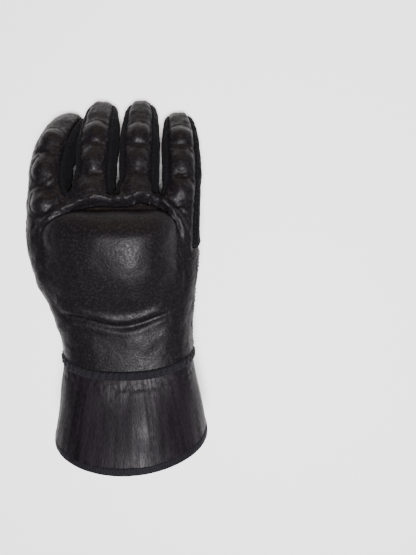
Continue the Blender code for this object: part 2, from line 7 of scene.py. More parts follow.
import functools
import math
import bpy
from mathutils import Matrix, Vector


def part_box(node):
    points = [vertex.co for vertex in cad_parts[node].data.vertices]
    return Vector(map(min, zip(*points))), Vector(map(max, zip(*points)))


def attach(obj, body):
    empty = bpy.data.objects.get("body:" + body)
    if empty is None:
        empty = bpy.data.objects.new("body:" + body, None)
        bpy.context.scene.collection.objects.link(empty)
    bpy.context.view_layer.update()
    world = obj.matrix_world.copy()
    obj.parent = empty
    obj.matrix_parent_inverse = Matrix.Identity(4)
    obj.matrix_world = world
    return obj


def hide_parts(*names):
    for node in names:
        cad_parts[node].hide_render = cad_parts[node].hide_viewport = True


bl_info = {
    "name": "Impact glove",
    "version": (1, 0, 0),
    "blender": (4, 5, 0),
    "location": "3D View > Sidebar > Glove",
    "description": "Makes the cloth, pads, seams, cuff and stage of an impact glove",
    "category": "Object",
}

import bmesh
import bpy
import numpy as np
from bpy.props import FloatProperty, FloatVectorProperty, PointerProperty
from mathutils import Matrix, Vector, noise
from mathutils.bvhtree import BVHTree
from mathutils.kdtree import KDTree

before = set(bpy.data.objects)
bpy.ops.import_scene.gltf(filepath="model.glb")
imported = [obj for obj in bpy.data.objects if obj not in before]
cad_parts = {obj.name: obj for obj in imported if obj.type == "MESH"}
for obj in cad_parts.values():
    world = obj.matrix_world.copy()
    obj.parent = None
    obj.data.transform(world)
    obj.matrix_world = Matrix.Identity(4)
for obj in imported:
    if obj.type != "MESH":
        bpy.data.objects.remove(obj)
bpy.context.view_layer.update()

# Hand, in metres, as the solids have it
PALM_LENGTH = 0.112
PALM_BREADTH = 0.110
PALM_DEPTH = 0.034
PALM_ARCH = 0.003
SEAM_GAP = 0.0004
FINGER_BREADTH = 0.0255
FINGER_DEPTH = 0.0225
FINGER_PRESS = 0.0018
FINGER_LENGTHS = (0.067, 0.0715, 0.0715, 0.065)
THUMB_LENGTH = 0.070
THUMB_BREADTH = 0.025
THUMB_DEPTH = 0.0245
THUMB_CLEARANCE = 0.005
BINDING_WIDTH = 0.005
BINDING_WALL = 0.0035
BINDING_PUCKER = 0.00032
CUFF_LENGTH = 0.0515
CUFF_WALL = 0.003
MOUTH_BREADTH = 0.104
MOUTH_DEPTH = 0.078
MOUTH_LEAN = 0.007
MOUTH_SQUARENESS = 2.04
FLAP_GAP = 0.020
TAPE_WIDTH = 0.005
TAPE_WALL = 0.0034
TAPE_SPARE = 0.0006
GUSSET_LENGTH = 0.042
GUSSET_LAP = 0.008
GUSSET_FOLD = 0.006
GUARD_LENGTH = 0.068
GUARD_BREADTH = 0.078
PAD_REACH = 0.030
PAD_SINK = 0.0002
PAD_LIFT = 0.0006
RING_SWELL = 1.085
FINGER_PITCH_AT_ROOT = 14.0
TIP_STEPS = 40

# How finely the skin is smoothed
SKIN_LEVEL = 4

# The cuff's cloth: a soft ridge down its back, by its height, its place and its width as
# shares of the way round; the heights of its broad waves and its streaks; and below the
# wrist, its gathers and the seam that holds them, by their height, place and reach.
CUFF_RIDGE = 0.0022
CUFF_RIDGE_PLACE = 0.42
CUFF_RIDGE_WIDTH = 0.07
CUFF_WAVE = 0.0007
CUFF_STREAK = 0.00025
CUFF_GATHER = 0.00035
CUFF_GATHER_PLACE = 0.0040
CUFF_GATHER_REACH = 0.0045
CUFF_SEAM = 0.00025
CUFF_SEAM_PLACE = 0.0052
CUFF_SEAM_REACH = 0.0009
TAPE_CORNER = 0.0065

PANELS = (
    "back_panel",
    "palm_panel",
    "grip_panel",
    "gusset_index_middle",
    "gusset_middle_ring",
    "gusset_ring_little",
    "thumb_back",
    "thumb_front",
)
GUSSETS = PANELS[3:6]

# Along the palm from the wrist; edges left and right of the axis, as shares of the breadth;
# depth as a share of the palm's; underside as a share of the thumb's height and clearance;
# roll, the fall towards the little finger, slant, how far that side lags, as shares
# of the breadth, and lean, how far the middle of the back and of the underside lags,
# as a share of half the depth.
BODY_COLUMNS = ("along", "left", "right", "depth", "under", "roll", "slant", "lean")
BODY_ROWS = (
    (0.10, -0.386, 0.410, 1.40, 0.44, 0.01, 0.00, 0.25),
    (0.22, -0.392, 0.406, 1.28, 0.56, 0.02, 0.00, 0.12),
    (0.38, -0.434, 0.420, 1.12, 0.78, 0.04, 0.00, 0.04),
    (0.56, -0.508, 0.440, 1.05, 0.95, 0.06, 0.02, 0.00),
    (0.80, -0.532, 0.458, 1.03, 0.98, 0.08, 0.12, 0.00),
    (1.00, -0.520, 0.463, 0.95, 0.80, 0.07, 0.03, 0.00),
)
FINE_ROWS = (0.56, 1.0)

# The guard, in shares of half its size from its middle: where it is highest along and
# across, and where its front begins to fall. How sharply its left and right sides fall, at
# its back and at its front.
GUARD_CREST = 0.58
GUARD_CROWN = 0.28
GUARD_BROW = 0.50
GUARD_LEFT = (1.8, 2.6)
GUARD_RIGHT = (2.4, 3.4)

# The crease under the guard: its middle across, how far its ends sag and its wave, in the
# same shares, and its width. Its lips: place from it, width, and height as a share of its
# depth.
CREASE_MIDDLE = 0.06
CREASE_SAG = 0.24
CREASE_WAVE = 0.035
CREASE_WIDTH = 0.0019
CREASE_LIPS = (
    (0.0042, 0.0027, 1.2),
    (-0.0038, 0.0025, 0.5),
)

# Name, share of the palm's breadth, breadth and depth as shares of the finger's,
# yaw at the root and at the tip towards the little finger, and roll, in degrees.
FINGER_COLUMNS = ("name", "share", "breadth", "depth", "root_yaw", "tip_yaw", "roll")
FINGER_ROWS = (
    ("index", 0.263, 1.03, 1.00, -3.0, 24.0, -4.0),
    ("middle", 0.243, 1.00, 1.03, 0.5, 0.5, 0.0),
    ("ring", 0.250, 1.00, 1.00, 0.0, -2.0, 2.0),
    ("little", 0.244, 0.99, 0.96, 1.0, -11.0, 6.0),
)

# Rings of a finger: share of its length, breadth and depth as shares of the finger's.
FINGER_RINGS = (
    (0.11, 0.97, 1.00),
    (0.29, 0.96, 0.98),
    (0.48, 0.97, 0.98),
    (0.67, 0.91, 0.92),
    (0.85, 0.86, 0.83),
    (0.96, 0.64, 0.56),
)

# Rings of the thumb: along and aside as shares of its length, from the palm's left edge
# at the middle of its root; rise of its axis as a share of its depth; breadth and depth.
THUMB_RINGS = (
    (0.17, -0.020, 0.76, 1.12, 1.04),
    (0.34, 0.000, 0.60, 1.05, 1.00),
    (0.52, 0.045, 0.52, 1.00, 1.00),
    (0.69, 0.100, 0.49, 0.97, 0.98),
    (0.83, 0.155, 0.47, 0.90, 0.94),
    (0.92, 0.192, 0.44, 0.66, 0.70),
)
THUMB_TIP = (0.965, 0.210, 0.42)
THUMB_ROOT_ROWS = (1, 3)

# Finger pads, as shares of the finger's length.
FINGER_PAD_PLACES = {
    "index": (-0.10, 0.18, 0.46),
    "middle": (0.01, 0.27, 0.51),
    "ring": (0.02, 0.28, 0.52),
    "little": (0.04, 0.31, 0.57),
}
THUMB_PAD_TURN = -55.0

# The rim round a finger pad: radius and width as shares of the pad's, height as a share of
# a fold's. One pad, by its finger and its number from 0, has a higher rim.
PAD_RIM_RADIUS = 1.08
PAD_RIM_WIDTH = 0.11
PAD_RIM_HEIGHT = 0.26
HIGH_RIM_PAD = ("ring", 0)
HIGH_RIM_HEIGHT = 0.62
PAD_ROUNDNESS = 1.15

# Creases under a finger: place along it, depth as a share of a fold's.
FINGER_CREASES = (
    (0.30, 0.60),
    (0.62, 0.42),
)

# Pads under the heel of the hand: along the palm and aside, as shares of its length and
# breadth, then length, breadth and height.
HEEL_COLUMNS = ("name", "along", "aside", "length", "breadth", "height")
HEEL_ROWS = (
    ("heel_pad_thumb", 0.27, -0.09, 0.030, 0.036, 0.0035),
    ("heel_pad_little", 0.30, 0.23, 0.034, 0.019, 0.0035),
    ("heel_patch", 0.53, -0.12, 0.022, 0.028, 0.0012),
)

# The welt over the knuckles: across and along, as shares of half the guard's size.
WELT_PLACES = (
    (-1.24, 0.36),
    (-1.02, 0.78),
    (-0.64, 1.06),
    (-0.20, 1.20),
    (0.16, 1.19),
    (0.52, 1.24),
    (0.84, 1.10),
    (1.08, 0.74),
    (1.18, 0.20),
)

# The welt's ruffles: size, seed of the noise and height as a share of the welt's.
WELT_RUFFLES = (
    (0.0030, 2, 0.32),
    (0.009, 13, 0.22),
)

# Wrinkles of all the cloth: size, seed, and heights as shares of a crumple's, on the
# fingers and on the calm back of the hand.
WRINKLES = (
    (0.016, 4, 1.30, 1.30),
    (0.0065, 5, 1.00, 0.30),
    (0.0030, 6, 0.50, 0.12),
)

# Folds of the cloth: place across and along from the middle of the guard, as shares of
# half its size, the fold's turn from straight across in degrees, its length and width as
# shares of the guard's breadth, and its height as a share of the relief's.
FOLD_COLUMNS = ("across", "along", "turn", "length", "width", "height")
FOLD_ROWS = (
    (-1.18, -0.30, 62.0, 0.34, 0.045, 0.55),
    (-1.02, -0.62, 48.0, 0.28, 0.040, -0.45),
    (-0.86, -1.10, 30.0, 0.26, 0.040, 0.40),
    (0.96, -0.80, -38.0, 0.26, 0.040, -0.40),
    (0.82, -1.22, -24.0, 0.24, 0.040, 0.35),
    (1.12, -0.20, 84.0, 0.36, 0.036, -0.40),
    (0.34, -1.26, 0.0, 0.28, 0.10, 0.80),
    (0.35, 1.52, 52.0, 0.16, 0.034, 0.60),
    (0.58, 1.60, -40.0, 0.14, 0.030, -0.50),
    (-0.10, 1.50, -24.0, 0.14, 0.030, 0.45),
    (-0.62, 1.46, 20.0, 0.16, 0.032, 0.50),
    (-1.02, 1.30, 30.0, 0.18, 0.034, -0.45),
    (0.96, 1.50, -50.0, 0.16, 0.032, 0.50),
)


class Row:
    """One row of a table, whose values are read by the names of its columns."""

    def __init__(self, columns, values):
        for column, value in zip(columns, values):
            setattr(self, column, value)


def lerp(a, b, share):
    return a + (b - a) * share


def size_of(name, description, default):
    """A length that a user can change, in metres."""
    return FloatProperty(
        name=name, description=description, default=default, min=0.0, unit="LENGTH", precision=5
    )


def colour_of(name, description, default):
    return FloatVectorProperty(
        name=name, description=description, default=default, subtype="COLOR", min=0.0, max=1.0
    )


class GloveSizes(bpy.types.PropertyGroup):
    """Sizes of the cloth, its relief and its seams."""

    wall: size_of("Wall", "Thickness of the cloth", 0.002)
    guard: size_of("Guard", "How far the knuckle guard stands proud", 0.0135)
    shelf: size_of("Shelf", "Depth of the crease under the guard", 0.0011)
    pad: size_of("Finger pad", "How far a finger pad stands proud", 0.0031)
    pad_length: size_of("Pad length", "Length of a finger pad", 0.0158)
    pad_breadth: size_of("Pad breadth", "Breadth of a finger pad", 0.0165)
    welt: size_of("Welt", "Height of the welt over the knuckles", 0.0026)
    welt_width: size_of("Welt width", "Width of that welt", 0.0036)
    fold: size_of("Fold", "Height of the folds of the cloth", 0.0016)
    crumple: size_of("Crumple", "Height of the small wrinkles", 0.00036)
    groove: size_of("Groove", "Depth of a seam's groove", 0.0007)
    swell: size_of("Swell", "How far the sides of the fingers swell", 0.0007)
    stitch_pitch: size_of("Stitch pitch", "From one stitch to the next", 0.0029)
    stitch_length: size_of("Stitch length", "Length of a stitch", 0.0021)
    stitch_thickness: size_of("Stitch thickness", "Thickness of the thread", 0.0005)
    cell_pitch: size_of("Cell pitch", "From one cell of the grip net to the next", 0.0024)
    cell_height: size_of("Cell height", "Height of a cell of the grip net", 0.0005)
    pucker_pitch: size_of("Pucker pitch", "From one pucker of the wrist to the next", 0.0042)


class GloveColours(bpy.types.PropertyGroup):
    """Colours of the glove's cloths and of the stage."""

    back: colour_of("Back cloth", "Woven cloth of the back", (0.0027, 0.0023, 0.0028))
    suede: colour_of("Suede", "Palm side of the fingers", (0.0024, 0.0024, 0.0030))
    knit: colour_of("Knit", "Gussets", (0.0024, 0.0024, 0.0033))
    net: colour_of("Grip net", "Netted cloth of the palm", (0.0030, 0.0030, 0.0035))
    pad: colour_of("Pad", "Moulded pads of the heel", (0.0050, 0.0050, 0.0053))
    cuff: colour_of("Cuff", "Brushed cloth of the cuff", (0.0028, 0.0022, 0.0030))
    tape: colour_of("Tape", "Edge tape and wrist roll", (0.0040, 0.0037, 0.0052))
    thread: colour_of("Thread", "Stitches", (0.0040, 0.0040, 0.0052))
    floor: colour_of("Floor", "Floor of the stage", (0.93, 0.93, 0.93))


# The cage of the hand


def across_palm():
    """Where the nine cage lines of the back cross the palm, as shares of its breadth."""
    shares = [Row(FINGER_COLUMNS, values).share for values in FINGER_ROWS]
    corner = 0.14 * shares[0]
    places, edge = [corner], 0.0
    for share in shares:
        places += [edge + share / 2, edge + share]
        edge += share
    places[-1] = 1.0 - corner
    return places


def palm_ring(row):
    """The twenty cage points round the palm at one row: back, right, underside, left."""
    y_axis = PALM_LENGTH * row.along
    left, right = PALM_BREADTH * row.left, PALM_BREADTH * row.right
    depth = PALM_DEPTH * row.depth
    under = (THUMB_DEPTH + THUMB_CLEARANCE) * row.under

    def point(share, side):
        x = lerp(left, right, share)
        hump = (1 - abs(2 * share - 1) ** 2.6) ** 0.45
        fall = row.roll * (x - left)
        arch = PALM_ARCH * hump if side > 0 else 0.0
        z = under + depth / 2 - fall + side * hump * depth / 2 + arch
        y = y_axis - row.slant * PALM_BREADTH * share - row.lean * hump * hump * depth / 2
        return Vector((x, y, z))

    places = across_palm()
    back = [point(share, 1) for share in places]
    underside = [point(share, -1) for share in reversed(places)]
    return [*back, point(1.0, 0), *underside, point(0.0, 0)]


def frame_at(forward, roll, ahead=Vector((0, 1, 0))):
    """Right and up axes across a forward direction, rolled about it."""
    right = (ahead + forward).cross(Vector((0, 0, 1)))
    right = (right - forward * right.dot(forward)).normalized()
    up = right.cross(forward).normalized()
    turn = Matrix.Rotation(roll, 3, forward)
    return turn @ right, turn @ up


def tube_ring(centre, forward, roll, breadth, depth, first=135.0):
    """Eight cage points round a tube, clockwise seen from its root, from the angle given."""
    right, up = frame_at(forward, roll)
    points = []
    for corner in range(8):
        angle = math.radians(first - 45.0 * corner)
        across = RING_SWELL * math.cos(angle) * breadth / 2
        rise = RING_SWELL * math.sin(angle) * depth / 2
        points.append(centre + right * across + up * rise)
    return points


def direction(pitch, yaw):
    """Forward direction that dips by the pitch and turns to the right by the yaw."""
    return Vector(
        (math.sin(yaw) * math.cos(pitch), math.cos(yaw) * math.cos(pitch), -math.sin(pitch))
    )


def finger_line(start, finger, length, tip_pitch):
    """Points and directions along a finger's bent axis."""
    point, places = start.copy(), []
    for step in range(TIP_STEPS + 1):
        share = step / TIP_STEPS
        pitch = math.radians(lerp(FINGER_PITCH_AT_ROOT, tip_pitch, share))
        yaw = math.radians(lerp(finger.root_yaw, finger.tip_yaw, share))
        forward = direction(pitch, yaw)
        places.append((point.copy(), forward))
        point += forward * length / TIP_STEPS
    return places


def at_share(line, share):
    place = share * TIP_STEPS
    low = max(0, min(int(place), TIP_STEPS - 1))
    point = line[low][0].lerp(line[low + 1][0], place - low)
    forward = line[low][1].lerp(line[low + 1][1], place - low)
    return point, forward.normalized()


def lowest_of(line, depth):
    """The lowest point of a finger's rings on this axis."""
    lowest = math.inf
    for share, _, depth_share in FINGER_RINGS:
        point, forward = at_share(line, share)
        flat = math.hypot(forward.x, forward.y)
        lowest = min(lowest, point.z - flat * depth * depth_share / 2)
    return min(lowest, at_share(line, 1.0)[0].z)


def curled_line(start, finger, length):
    """The finger's axis, curled until its tip presses on the floor."""
    depth = FINGER_DEPTH * finger.depth
    low, high = 0.0, 90.0
    for _ in range(30):
        tip_pitch = (low + high) / 2
        line = finger_line(start, finger, length, tip_pitch)
        if lowest_of(line, depth) > -FINGER_PRESS:
            low = tip_pitch
        else:
            high = tip_pitch
    return line


class Ring:
    """Cage points round the hand or a finger, with the run of the cloth at each side."""

    def __init__(self, points, origin, base, along):
        self.points = points
        self.along = along
        runs = [0.0]
        for number, point in enumerate(points):
            after = points[(number + 1) % len(points)]
            runs.append(runs[-1] + (after.co - point.co).length)
        shift = base - runs[origin]
        self.runs = [(runs[k] + shift, runs[k + 1] + shift) for k in range(len(points))]
        self.runs[-1] = tuple(run - runs[-1] for run in self.runs[-1])


class Cage:
    """The hand's cage in one bmesh, whose faces carry their panel and the cloth's run."""

    def __init__(self):
        self.mesh = bmesh.new()
        self.cloth = self.mesh.loops.layers.uv.new("cloth")

    def points(self, places):
        return [self.mesh.verts.new(place) for place in places]

    def face(self, corners, panel, runs):
        if panel is None:
            return
        face = self.mesh.faces.new(corners)
        face.material_index = PANELS.index(panel)
        for loop, run in zip(face.loops, runs):
            loop[self.cloth].uv = run

    def loft(self, near, far, panels):
        """Faces between two rings, each side in the panel named for it."""
        count = len(near.points)
        for side, panel in enumerate(panels):
            after = (side + 1) % count
            corners = (
                near.points[side],
                near.points[after],
                far.points[after],
                far.points[side],
            )
            runs = (
                (near.runs[side][0], near.along),
                (near.runs[side][1], near.along),
                (far.runs[side][1], far.along),
                (far.runs[side][0], far.along),
            )
            self.face(corners, panel, runs)

    def tip(self, ring, place, panels):
        """Four faces from a ring of eight to its tip point."""
        centre = self.mesh.verts.new(place)
        reach = (ring.points[0].co - centre.co).length
        for quarter, panel in enumerate(panels):
            sides = [(2 * quarter + 1 + k) % 8 for k in range(3)]
            corners = [ring.points[side] for side in sides]
            runs = [
                (ring.runs[sides[0]][0], ring.along),
                (ring.runs[sides[0]][1], ring.along),
                (ring.runs[sides[1]][1], ring.along),
                (ring.runs[sides[0]][1], ring.along + reach),
            ]
            self.face((*corners, centre), panel, runs)


def body_panels(row):
    """The panel of each of the twenty faces between this row of the palm and the next."""
    upper = row == len(BODY_ROWS) - 2
    thumb_low, thumb_high = THUMB_ROOT_ROWS
    beside_thumb = thumb_low <= row < thumb_high
    side = "palm_panel" if upper else "back_panel"
    under = "palm_panel" if upper else "grip_panel"
    if beside_thumb:
        root = None
    elif row >= thumb_high:
        root = "palm_panel"
    else:
        root = "grip_panel"
    return [*["back_panel"] * 8, side, under, *[under] * 7, root, root, "back_panel"]


def finger_panels(number):
    """The panels round a finger, clockwise from its left side seam's upper face."""
    last = len(FINGER_ROWS) - 1
    right = GUSSETS[number] if number < last else "palm_panel"
    left_up = GUSSETS[number - 1] if number > 0 else "back_panel"
    left_low = GUSSETS[number - 1] if number > 0 else "palm_panel"
    backs = ["back_panel", "back_panel"]
    return [*backs, right, right, "palm_panel", "palm_panel", left_low, left_up]


def add_fingers(cage, ring):
    """Four fingers on the palm's last ring. Returns each one's axis, by name."""
    webs = {}
    last = len(FINGER_ROWS) - 1
    for number in range(1, last + 1):
        top, bottom = ring.points[2 * number], ring.points[18 - 2 * number]
        webs[number] = cage.mesh.verts.new((top.co + bottom.co) / 2)
    webs[0], webs[last + 1] = ring.points[19], ring.points[9]
    lines = {}
    for number, values in enumerate(FINGER_ROWS):
        finger = Row(FINGER_COLUMNS, values)
        top, under = 2 * number, 18 - 2 * number
        base = ring.runs[top + 1][0]
        points = [
            *ring.points[top : top + 3],
            webs[number + 1],
            ring.points[under - 2],
            ring.points[under - 1],
            ring.points[under],
            webs[number],
        ]
        near = Ring(points, 1, base, PALM_LENGTH)
        start = (points[1].co + points[5].co) / 2
        length = FINGER_LENGTHS[number]
        line = curled_line(start, finger, length)
        lines[finger.name] = line
        panels = finger_panels(number)
        roll = math.radians(finger.roll)
        for share, breadth_share, depth_share in FINGER_RINGS:
            centre, forward = at_share(line, share)
            breadth = FINGER_BREADTH * finger.breadth * breadth_share
            depth = FINGER_DEPTH * finger.depth * depth_share
            places = tube_ring(centre, forward, roll, breadth, depth)
            far = Ring(cage.points(places), 1, base, PALM_LENGTH + share * length)
            cage.loft(near, far, panels)
            near = far
        tips = ["back_panel", "palm_panel", "palm_panel", "back_panel"]
        cage.tip(near, at_share(line, 1.0)[0], tips)
    return lines


def thumb_point(root, along, aside, rise):
    return Vector(
        (root.x + aside * THUMB_LENGTH, root.y + along * THUMB_LENGTH, rise * THUMB_DEPTH)
    )


def add_thumb(cage, rings):
    """The thumb, from the hole left for it in the palm's lower left edge."""
    low, high = THUMB_ROOT_ROWS
    middle = (low + high) // 2
    edge, corner, inner = 19, 18, 17
    places = (
        (low, edge),
        (middle, edge),
        (high, edge),
        (high, corner),
        (high, inner),
        (middle, inner),
        (low, inner),
        (low, corner),
    )
    near = Ring([rings[row].points[side] for row, side in places], 1, 0.0, -THUMB_LENGTH)
    root = rings[middle].points[edge].co
    centres = [thumb_point(root, *values[:3]) for values in THUMB_RINGS]
    tip = thumb_point(root, *THUMB_TIP)
    panels = [*["thumb_back"] * 3, *["thumb_front"] * 4, "thumb_back"]
    line = [root.lerp(centres[0], 0.5), *centres, tip]
    for number, values in enumerate(THUMB_RINGS):
        forward = (line[number + 2] - line[number]).normalized()
        breadth, depth = THUMB_BREADTH * values[3], THUMB_DEPTH * values[4]
        places = tube_ring(centres[number], forward, 0.0, breadth, depth, 180.0)
        far = Ring(cage.points(places), 1, 0.0, (values[0] - 1.0) * THUMB_LENGTH)
        cage.loft(near, far, panels)
        near = far
    cage.tip(near, tip, ["thumb_back", "thumb_front", "thumb_front", "thumb_back"])
    return line


def smoothed(cage, level):
    """The cage under a Subdivision Surface, pressed flat where it meets the floor."""
    mesh = bpy.data.meshes.new("cage")
    cage.to_mesh(mesh)
    cage.free()
    for _ in PANELS:
        mesh.materials.append(None)
    obj = bpy.data.objects.new("cage", mesh)
    bpy.context.scene.collection.objects.link(obj)
    modifier = obj.modifiers.new("smooth", "SUBSURF")
    modifier.levels = modifier.render_levels = level
    modifier.uv_smooth = "NONE"
    bpy.context.view_layer.update()
    graph = bpy.context.evaluated_depsgraph_get()
    skin = bmesh.new()
    skin.from_mesh(obj.evaluated_get(graph).to_mesh())
    bpy.data.objects.remove(obj, do_unlink=True)
    for vert in skin.verts:
        vert.co.z = max(vert.co.z, 0.0)
    bmesh.ops.recalc_face_normals(skin, faces=skin.faces[:])
    skin.normal_update()
    return skin


def hand_skin(level):
    """The smoothed skin of the whole hand as a bmesh, with the axes of its fingers."""
    cage = Cage()
    rings = []
    for values in BODY_ROWS:
        row = Row(BODY_COLUMNS, values)
        rings.append(Ring(cage.points(palm_ring(row)), 4, 0.0, PALM_LENGTH * row.along))
    low, high = THUMB_ROOT_ROWS
    for row in range(len(rings) - 1):
        cage.loft(rings[row], rings[row + 1], body_panels(row))
    lines = add_fingers(cage, rings[-1])
    thumb = add_thumb(cage, rings)
    cage.mesh.verts.remove(rings[(low + high) // 2].points[18])
    return smoothed(cage.mesh, level), lines, thumb


def halve_rows(skin, low, high):
    """Halves the faces of the body along the hand, between two distances from the wrist."""
    cloth = skin.loops.layers.uv.active
    chosen = []
    for edge in skin.edges:
        loop = edge.link_loops[0]
        start, end = loop[cloth].uv, loop.link_loop_next[cloth].uv
        inside = low < (start.y + end.y) / 2 < high
        if inside and abs(end.y - start.y) > abs(end.x - start.x):
            chosen.append(edge)
    bmesh.ops.subdivide_edges(skin, edges=chosen, cuts=1, use_grid_fill=True)
    skin.normal_update()


# The skin as arrays, and the relief that is raised on it


def unit(vectors):
    return vectors / np.maximum(np.linalg.norm(vectors, axis=-1, keepdims=True), 1e-9)


class Skin:
    """The smooth hand: points, outward normals, quads, their panels and the cloth's run."""

    def __init__(self, shape):
        cloth = shape.loops.layers.uv.active
        shape.verts.index_update()
        self.points = np.array([vert.co for vert in shape.verts])
        self.normals = np.array([vert.normal for vert in shape.verts])
        self.faces = np.array([[vert.index for vert in face.verts] for face in shape.faces])
        self.panels = np.array([face.material_index for face in shape.faces])
        self.runs = np.array([[loop[cloth].uv[:] for loop in face.loops] for face in shape.faces])
        self.lifted = self.points
        self.relief = np.zeros(len(self.points))

    def sides(self, panel=None):
        """Start, end and face of each side of the faces, of one panel or of all."""
        chosen = np.arange(len(self.faces)) if panel is None else np.flatnonzero(self.panels == panel)
        faces = self.faces[chosen]
        starts, ends = faces.ravel(), np.roll(faces, -1, axis=1).ravel()
        return starts, ends, np.repeat(chosen, 4)

    def seam_edges(self, one=None, other=None):
        """Edges between two panels, or between any two, as pairs of point numbers."""
        starts, ends, faces = self.sides()
        keys = np.minimum(starts, ends) * len(self.points) + np.maximum(starts, ends)
        order = np.argsort(keys, kind="stable")
        same = np.flatnonzero(keys[order][1:] == keys[order][:-1])
        near, far = order[same], order[same + 1]
        panels = np.stack([self.panels[faces[near]], self.panels[faces[far]]])
        if one is None:
            chosen = panels[0] != panels[1]
        else:
            pair = sorted((PANELS.index(one), PANELS.index(other)))
            chosen = (np.sort(panels, axis=0) == np.array(pair)[:, None]).all(axis=0)
        return np.stack([starts[near[chosen]], ends[near[chosen]]], axis=1)

    def rim(self, panel):
        """The open edges of a panel, as directed pairs with their side numbers."""
        starts, ends, _ = self.sides(panel)
        count = len(self.points)
        open_sides = np.flatnonzero(~np.isin(starts * count + ends, ends * count + starts))
        return starts, ends, open_sides

    def pulls(self, panel):
        """Directions in the surface that lead from the panel's rim into it."""
        starts, ends, open_sides = self.rim(panel)
        a, b = starts[open_sides], ends[open_sides]
        run = unit(self.points[b] - self.points[a])
        inwards = np.cross(self.normals[a] + self.normals[b], run)
        pulls = np.zeros_like(self.points)
        np.add.at(pulls, a, inwards)
        np.add.at(pulls, b, inwards)
        return unit(pulls) * (np.linalg.norm(pulls, axis=1, keepdims=True) > 1e-9)


def soft(points, size, seed=0):
    """Smooth noise of a given size at each point, from -1 to 1."""
    shift = Vector((3.7, 1.9, 5.3)) * seed
    return np.array([noise.noise(Vector(point) / size + shift) for point in points])


def bell(distance, width):
    return np.exp(-((distance / width) ** 2))


def step(value, low, high):
    """Rises smoothly from 0 at low to 1 at high."""
    share = np.clip((value - low) / (high - low), 0.0, 1.0)
    return share * share * (3.0 - 2.0 * share)


class FingerMap:
    """Where each point lies on the finger nearest to it."""

    def __init__(self, points, lines):
        count = len(points)
        self.owner = np.zeros(count, int)
        self.share = np.zeros(count)
        self.offset = np.zeros((count, 3))
        self.right = np.zeros((count, 3))
        self.up = np.zeros((count, 3))
        best = np.full(count, np.inf)
        for number, values in enumerate(FINGER_ROWS):
            finger = Row(FINGER_COLUMNS, values)
            line = lines[finger.name]
            centres = np.array([place for place, _ in line])
            forwards = np.array([forward for _, forward in line])
            frames = np.array([frame_at(forward, math.radians(finger.roll)) for _, forward in line])
            gaps = np.stack([((points - centre) ** 2).sum(axis=1) for centre in centres])
            near, gap = gaps.argmin(axis=0), gaps.min(axis=0)
            offset = points - centres[near]
            ahead = (offset * forwards[near]).sum(axis=1) * TIP_STEPS / FINGER_LENGTHS[number]
            closer = gap < best
            best[closer] = gap[closer]
            self.owner[closer] = number
            self.share[closer] = ((near + ahead) / TIP_STEPS)[closer]
            self.offset[closer] = offset[closer]
            self.right[closer] = frames[near, 0][closer]
            self.up[closer] = frames[near, 1][closer]
        self.across = (self.offset * self.right).sum(axis=1)
        self.rise = (self.offset * self.up).sum(axis=1)
        self.length = np.array(FINGER_LENGTHS)[self.owner]


def pad_reach(along, across, sizes):
    """How far out on a pad each point lies, squared, and 1 at its rim."""
    return (2 * along / sizes.pad_length) ** 2 + (2 * across / sizes.pad_breadth) ** 2


def pad_dome(reach):
    return np.clip(1.0 - reach, 0.0, 1.0) ** PAD_ROUNDNESS


def finger_relief(skin, fingers, sizes):
    """Three pads on each finger's back, the pinches between them and the creases below."""
    lift = np.zeros(len(skin.points))
    above = step(fingers.rise, -0.001, 0.004)
    below = step(-fingers.rise, 0.0, 0.004)
    wander = soft(skin.points, 0.004, 1)
    for number, values in enumerate(FINGER_ROWS):
        mine = fingers.owner == number
        name = values[0]
        places = FINGER_PAD_PLACES[name]
        for order, place in enumerate(places):
            along = (fingers.share - place) * fingers.length
            reach = pad_reach(along, fingers.across, sizes)
            height = HIGH_RIM_HEIGHT if (name, order) == HIGH_RIM_PAD else PAD_RIM_HEIGHT
            rim = height * bell(np.sqrt(reach) - PAD_RIM_RADIUS, PAD_RIM_WIDTH)
            lift += mine * above * (sizes.pad * pad_dome(reach) + sizes.fold * rim)
        pinches = [(places[0] + places[1]) / 2, (places[1] + places[2]) / 2, places[0] - 0.13]
        for place in pinches:
            along = (fingers.share - place) * fingers.length + 0.0016 * wander
            width = bell(fingers.across, 0.0085)
            lift -= mine * above * width * sizes.fold * 0.42 * bell(along, 0.0013)
            lift += mine * above * width * sizes.fold * 0.22 * bell(np.abs(along) - 0.0030, 0.0011)
        for place, depth in FINGER_CREASES:
            along = (fingers.share - place) * fingers.length + 0.0010 * wander
            lift -= mine * below * sizes.fold * depth * bell(along, 0.0011)
    return lift


def finger_swell(skin, fingers, sizes):
    """Swells the sides of the fingers until they nearly touch."""
    sideways = (skin.normals * fingers.right).sum(axis=1) ** 2
    window = step(fingers.share, 0.10, 0.26) * (1.0 - step(fingers.share, 0.66, 0.86))
    return sizes.swell * sideways * window


def thumb_relief(skin, thumb, sizes):
    """Two pads on the thumb's back."""
    lift = np.zeros(len(skin.points))
    on_thumb = np.zeros(len(skin.points), bool)
    for name in ("thumb_back", "thumb_front"):
        on_thumb[np.unique(skin.faces[skin.panels == PANELS.index(name)])] = True
    for number in (2, 4):
        forward = (thumb[number + 2] - thumb[number]).normalized()
        up = frame_at(forward, math.radians(THUMB_PAD_TURN))[1]
        side = forward.cross(up)
        offset = skin.points - np.array(thumb[number + 1])
        along, across, rise = (offset @ np.array(axis) for axis in (forward, side, up))
        dome = pad_dome(pad_reach(along, across, sizes))
        lift += on_thumb * (rise > 0) * sizes.pad * 0.9 * dome
    return lift


def guard_seat():
    """The middle of the guard in plan."""
    axis = PALM_BREADTH * (BODY_ROWS[-1][1] + BODY_ROWS[-1][2]) / 2
    return axis, PALM_LENGTH * 0.92 - GUARD_LENGTH / 2


